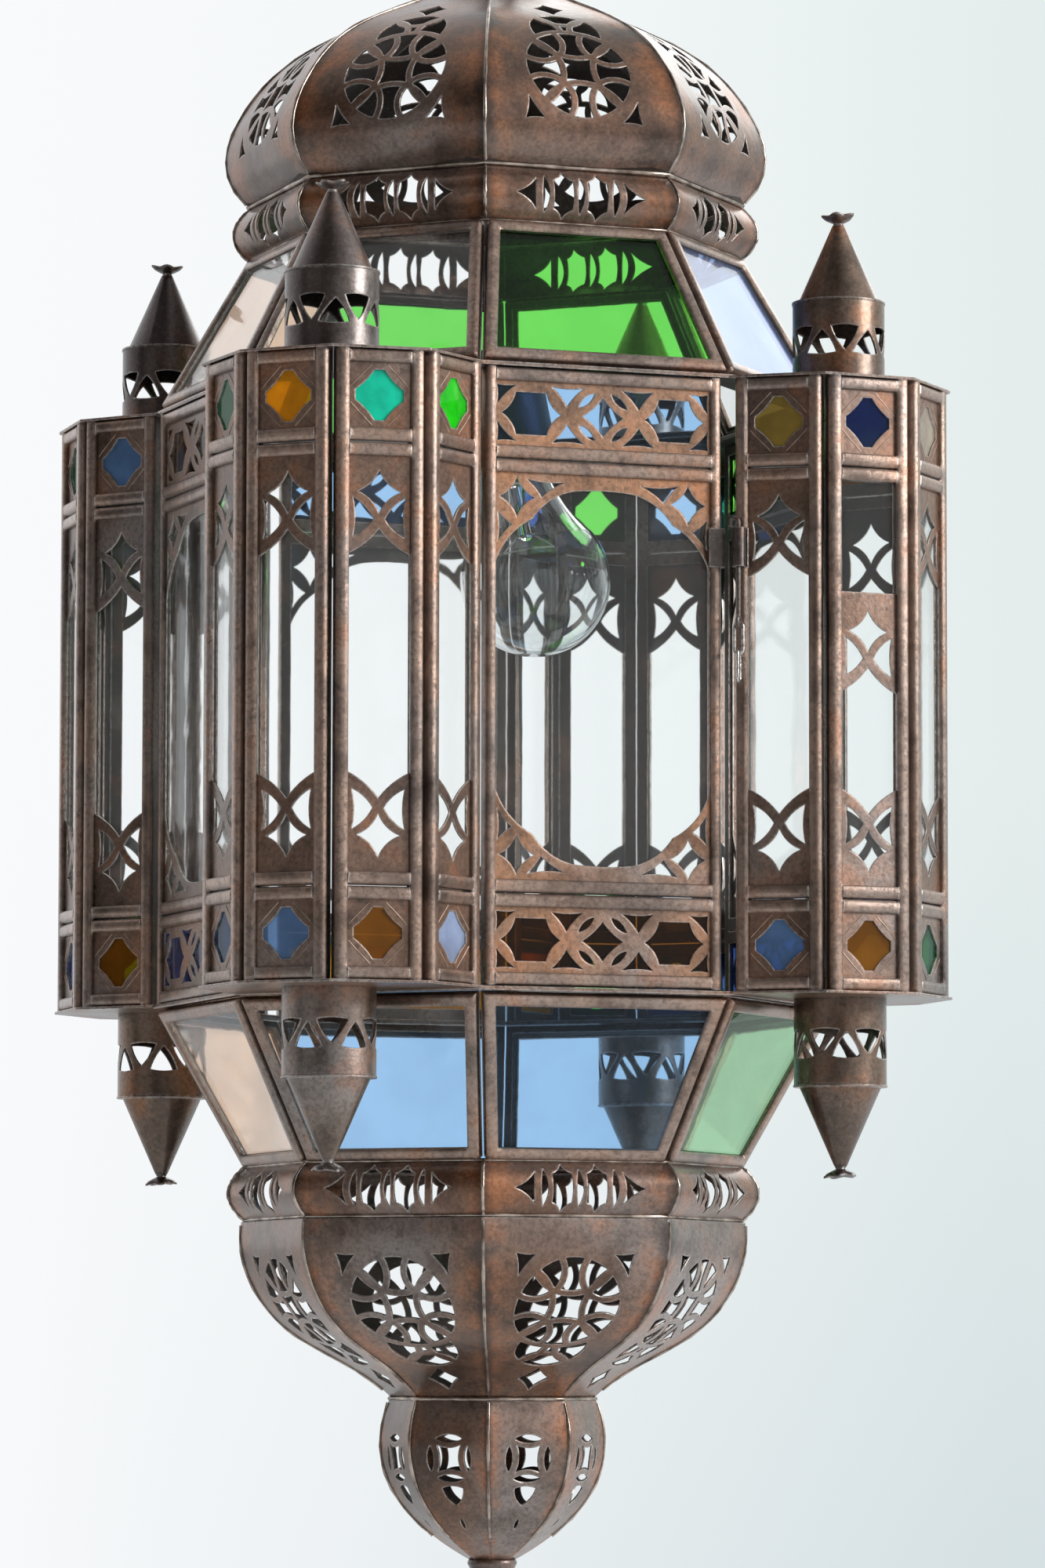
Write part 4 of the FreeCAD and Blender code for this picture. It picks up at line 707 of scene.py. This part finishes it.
def add_gem_lines(material):
    """Thin lines scribed on the sheet beside the four sides of each gem."""
    runs = []
    trees = {tower: surface_tree(f"{tower}_sheets") for tower in TOWER_AXES}
    for place, centre in pane_centres().items():
        facing = outward(place)
        across = UP.cross(facing)
        for right in (1, -1):
            for up in (1, -1):
                run = []
                for x, y in GEM_LINE:
                    start = centre + across * (right * x) + UP * (up * y) + facing * GEM_REACH
                    hit = trees[place[0]].ray_cast(start, -facing, 2 * GEM_REACH)[0]
                    if hit:
                        run.append(hit)
                if len(run) == len(GEM_LINE):
                    runs.append(run)
    add_bead("gem_lines", runs, GEM_LINE_RADIUS, material, unevenness=0.2)


def add_solder():
    solder = grained("old_solder", linear(104, 90, 80), linear(190, 176, 164), 110,
                     Metallic=0.9, Roughness=0.26)
    scribed = grained("scribed_line", linear(140, 118, 104), linear(186, 164, 148), 300,
                      Metallic=0.8, Roughness=0.35)
    add_seams(solder)
    for name, (node, end, inset, radius) in JOINTS.items():
        add_joint(name, node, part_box(node)[end].z + inset, radius, solder)
    add_gem_lines(scribed)


# Crimped tips of the turrets: (radius, height, share of the crimping), up the outside and down the inside

TURRET_OUT = 0.1465
TIP_HEIGHT = 0.0048
TIP_SIDES = 30
TIP_RINGS = (
    (0.0023, 0.0000, 0.00), (0.0018, 0.0010, 0.05), (0.0034, 0.0018, 0.25), (0.0054, 0.0029, 0.60),
    (0.0067, 0.0042, 1.00), (0.0066, 0.0048, 1.00), (0.0050, 0.0040, 0.60), (0.0024, 0.0030, 0.25),
    (0.0005, 0.0026, 0.00),
)
TIP_PETALS = 5
TIP_SHARP_ANGLE = math.radians(50)
FOLD_IN = 0.24
FOLD_DROP = 0.0006
LEAN_DROP = 0.0004


def tip_points(foot, up, draws):
    """Rings of points of one tip, which flares into uneven petals."""
    phase = draws.uniform(0, 2 * math.pi)
    lean = draws.uniform(0, 2 * math.pi)
    points = []
    for radius, height, crimp in TIP_RINGS:
        for number in range(TIP_SIDES):
            angle = 2 * math.pi * number / TIP_SIDES
            fold = 0.5 + 0.5 * math.cos(TIP_PETALS * angle + phase)
            reach = radius * (1 - FOLD_IN * crimp * fold)
            rise = height - crimp * (FOLD_DROP * fold + LEAN_DROP * (1 + math.cos(angle + lean)))
            points.append(foot + heading(angle) * reach + UP * (up * rise))
    return points


def add_tips(material):
    low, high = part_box("turret_tips")
    draws = random.Random("turret_tips")
    points = []
    faces = []
    for axis in TOWER_AXES.values():
        for up, end in ((1, high.z), (-1, low.z)):
            first = len(points)
            foot = heading(math.radians(axis)) * TURRET_OUT + UP * (end - up * TIP_HEIGHT)
            points += tip_points(foot, up, draws)
            turn = list(range(TIP_SIDES))[::up]
            for ring in range(first, first + (len(TIP_RINGS) - 1) * TIP_SIDES, TIP_SIDES):
                for one, two in zip(turn, turn[1:] + turn[:1]):
                    faces.append((ring + one, ring + two, ring + TIP_SIDES + two, ring + TIP_SIDES + one))
            faces.append([first + number for number in reversed(turn)])
            faces.append([len(points) - TIP_SIDES + number for number in turn])
    mesh = bpy.data.meshes.new("crimped_tips")
    mesh.from_pydata(points, [], faces)
    mesh.materials.append(material)
    mesh.shade_smooth()
    mesh.set_sharp_from_angle(angle=TIP_SHARP_ANGLE)
    tips = bpy.data.objects.new("crimped_tips", mesh)
    SCENE.collection.objects.link(tips)
    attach(tips, "lantern")
    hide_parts("turret_tips")


# Camera, light and surroundings: tones of backdrop and room, and how far along a direction they run

BACKDROP = [(0.0, linear(249, 250, 252)), (0.55, linear(243, 247, 248)), (1.0, linear(228, 237, 236))]
BACKDROP_CORNER = linear(206, 217, 222)
CORNER_SHARE = 0.8
BACKDROP_ACROSS = (-0.08, 0.08)
BACKDROP_DOWN = (0.09, -0.06)
ROOM = [(0.0, linear(76, 74, 74)), (0.5, linear(196, 198, 200)), (1.0, linear(250, 251, 252))]
ROOM_BEHIND = (-0.3, 0.5)
ROOM_BESIDE = (-0.05, 0.65)

# Lamps: direction as the camera sees it (right, towards the camera, up), size and power
LAMP_DISTANCE = 2.6
LAMPS = {
    "key_light": ((1.0, 0.35, 0.4), 1.2, 58),
    "fill_light": ((-0.9, 0.9, 0.15), 1.6, 2),
    "back_light": ((0.35, -1.0, 0.7), 1.6, 14),
}

FLOOR_DROP = 0.22
FLOOR_RADIUS = 6.0
FLOOR_CORNERS = 64


def add_camera():
    place = CAMERA_OUT * CAMERA_DISTANCE + CAMERA_RIGHT * CAMERA_ASIDE
    place.z = PANELS[1].z - CAMERA_BELOW_PANELS
    level = Matrix.Rotation(-CAMERA_YAW, 3, "Z") @ -CAMERA_OUT
    ahead = level * math.cos(CAMERA_PITCH) + UP * math.sin(CAMERA_PITCH)
    side = ahead.cross(UP).normalized()
    up = side.cross(ahead)
    tilted_side = side * math.cos(CAMERA_ROLL) + up * math.sin(CAMERA_ROLL)
    tilted_up = up * math.cos(CAMERA_ROLL) - side * math.sin(CAMERA_ROLL)
    camera = bpy.data.objects.new("camera", bpy.data.cameras.new("camera"))
    camera.data.lens = CAMERA_LENS
    camera.data.sensor_width = CAMERA_SENSOR
    camera.data.clip_end = CAMERA_SIGHT
    turn = Matrix((tilted_side, tilted_up, -ahead)).transposed()
    camera.matrix_world = Matrix.Translation(place) @ turn.to_4x4()
    SCENE.collection.objects.link(camera)
    SCENE.camera = camera


def add_world():
    """A pale backdrop, and a room that is pale behind and to the right and dim elsewhere."""
    world = bpy.data.worlds.new("pale_room")
    world.use_nodes = True
    SCENE.world = world
    graph = Graph(world.node_tree)
    graph.tree.nodes.clear()
    direction = graph.node("ShaderNodeTexCoord").outputs["Generated"]
    across = graph.along(direction, CAMERA_RIGHT, *BACKDROP_ACROSS)
    low = graph.along(direction, UP, *BACKDROP_DOWN)
    corner = graph.math("MULTIPLY", graph.math("MULTIPLY", low, across), CORNER_SHARE)
    backdrop = graph.mix(corner, graph.ramp(across, BACKDROP), BACKDROP_CORNER)
    behind = graph.along(direction, -CAMERA_OUT, *ROOM_BEHIND)
    beside = graph.along(direction, CAMERA_RIGHT, *ROOM_BESIDE)
    room = graph.ramp(graph.math("MAXIMUM", behind, beside), ROOM)
    path = graph.node("ShaderNodeLightPath")
    mirrored = graph.math("MULTIPLY", path.outputs["Is Glossy Ray"], behind)
    direct = graph.math("MAXIMUM", path.outputs["Is Camera Ray"], path.outputs["Is Transmission Ray"])
    seen = graph.math("MAXIMUM", direct, mirrored)
    background = graph.node("ShaderNodeBackground")
    graph.feed(background, "Color", graph.mix(seen, room, backdrop))
    output = graph.node("ShaderNodeOutputWorld")
    graph.feed(output, "Surface", background.outputs[0])


def add_lights():
    """Soft lamps that look at the lantern's middle."""
    middle = (CAD_BOX[0] + CAD_BOX[1]) / 2
    for name, ((right, out, up), size, power) in LAMPS.items():
        light = bpy.data.lights.new(name, "AREA")
        light.energy = power
        light.size = size
        lamp = bpy.data.objects.new(name, light)
        direction = (CAMERA_RIGHT * right + CAMERA_OUT * out + UP * up).normalized()
        lamp.location = middle + direction * LAMP_DISTANCE
        lamp.rotation_euler = (-direction).to_track_quat("-Z", "Y").to_euler()
        SCENE.collection.objects.link(lamp)


def add_floor():
    """Pale floor well below the hanging lantern."""
    mesh = bpy.data.meshes.new("floor")
    angles = [2 * math.pi * number / FLOOR_CORNERS for number in range(FLOOR_CORNERS)]
    rim = [heading(angle) * FLOOR_RADIUS for angle in angles]
    mesh.from_pydata(rim, [], [tuple(range(FLOOR_CORNERS))])
    floor = bpy.data.objects.new("floor", mesh)
    floor.location.z = CAD_BOX[0].z - FLOOR_DROP
    SCENE.collection.objects.link(floor)
    pale = grained("pale_floor", linear(224, 228, 230), linear(227, 231, 233), 40, Roughness=0.8)
    mesh.materials.append(pale)


SCENE.view_settings.view_transform = "Standard"
add_camera()
add_world()
add_lights()
add_floor()
dress_metal()
dress_glass()
dress_lamp()
add_solder()
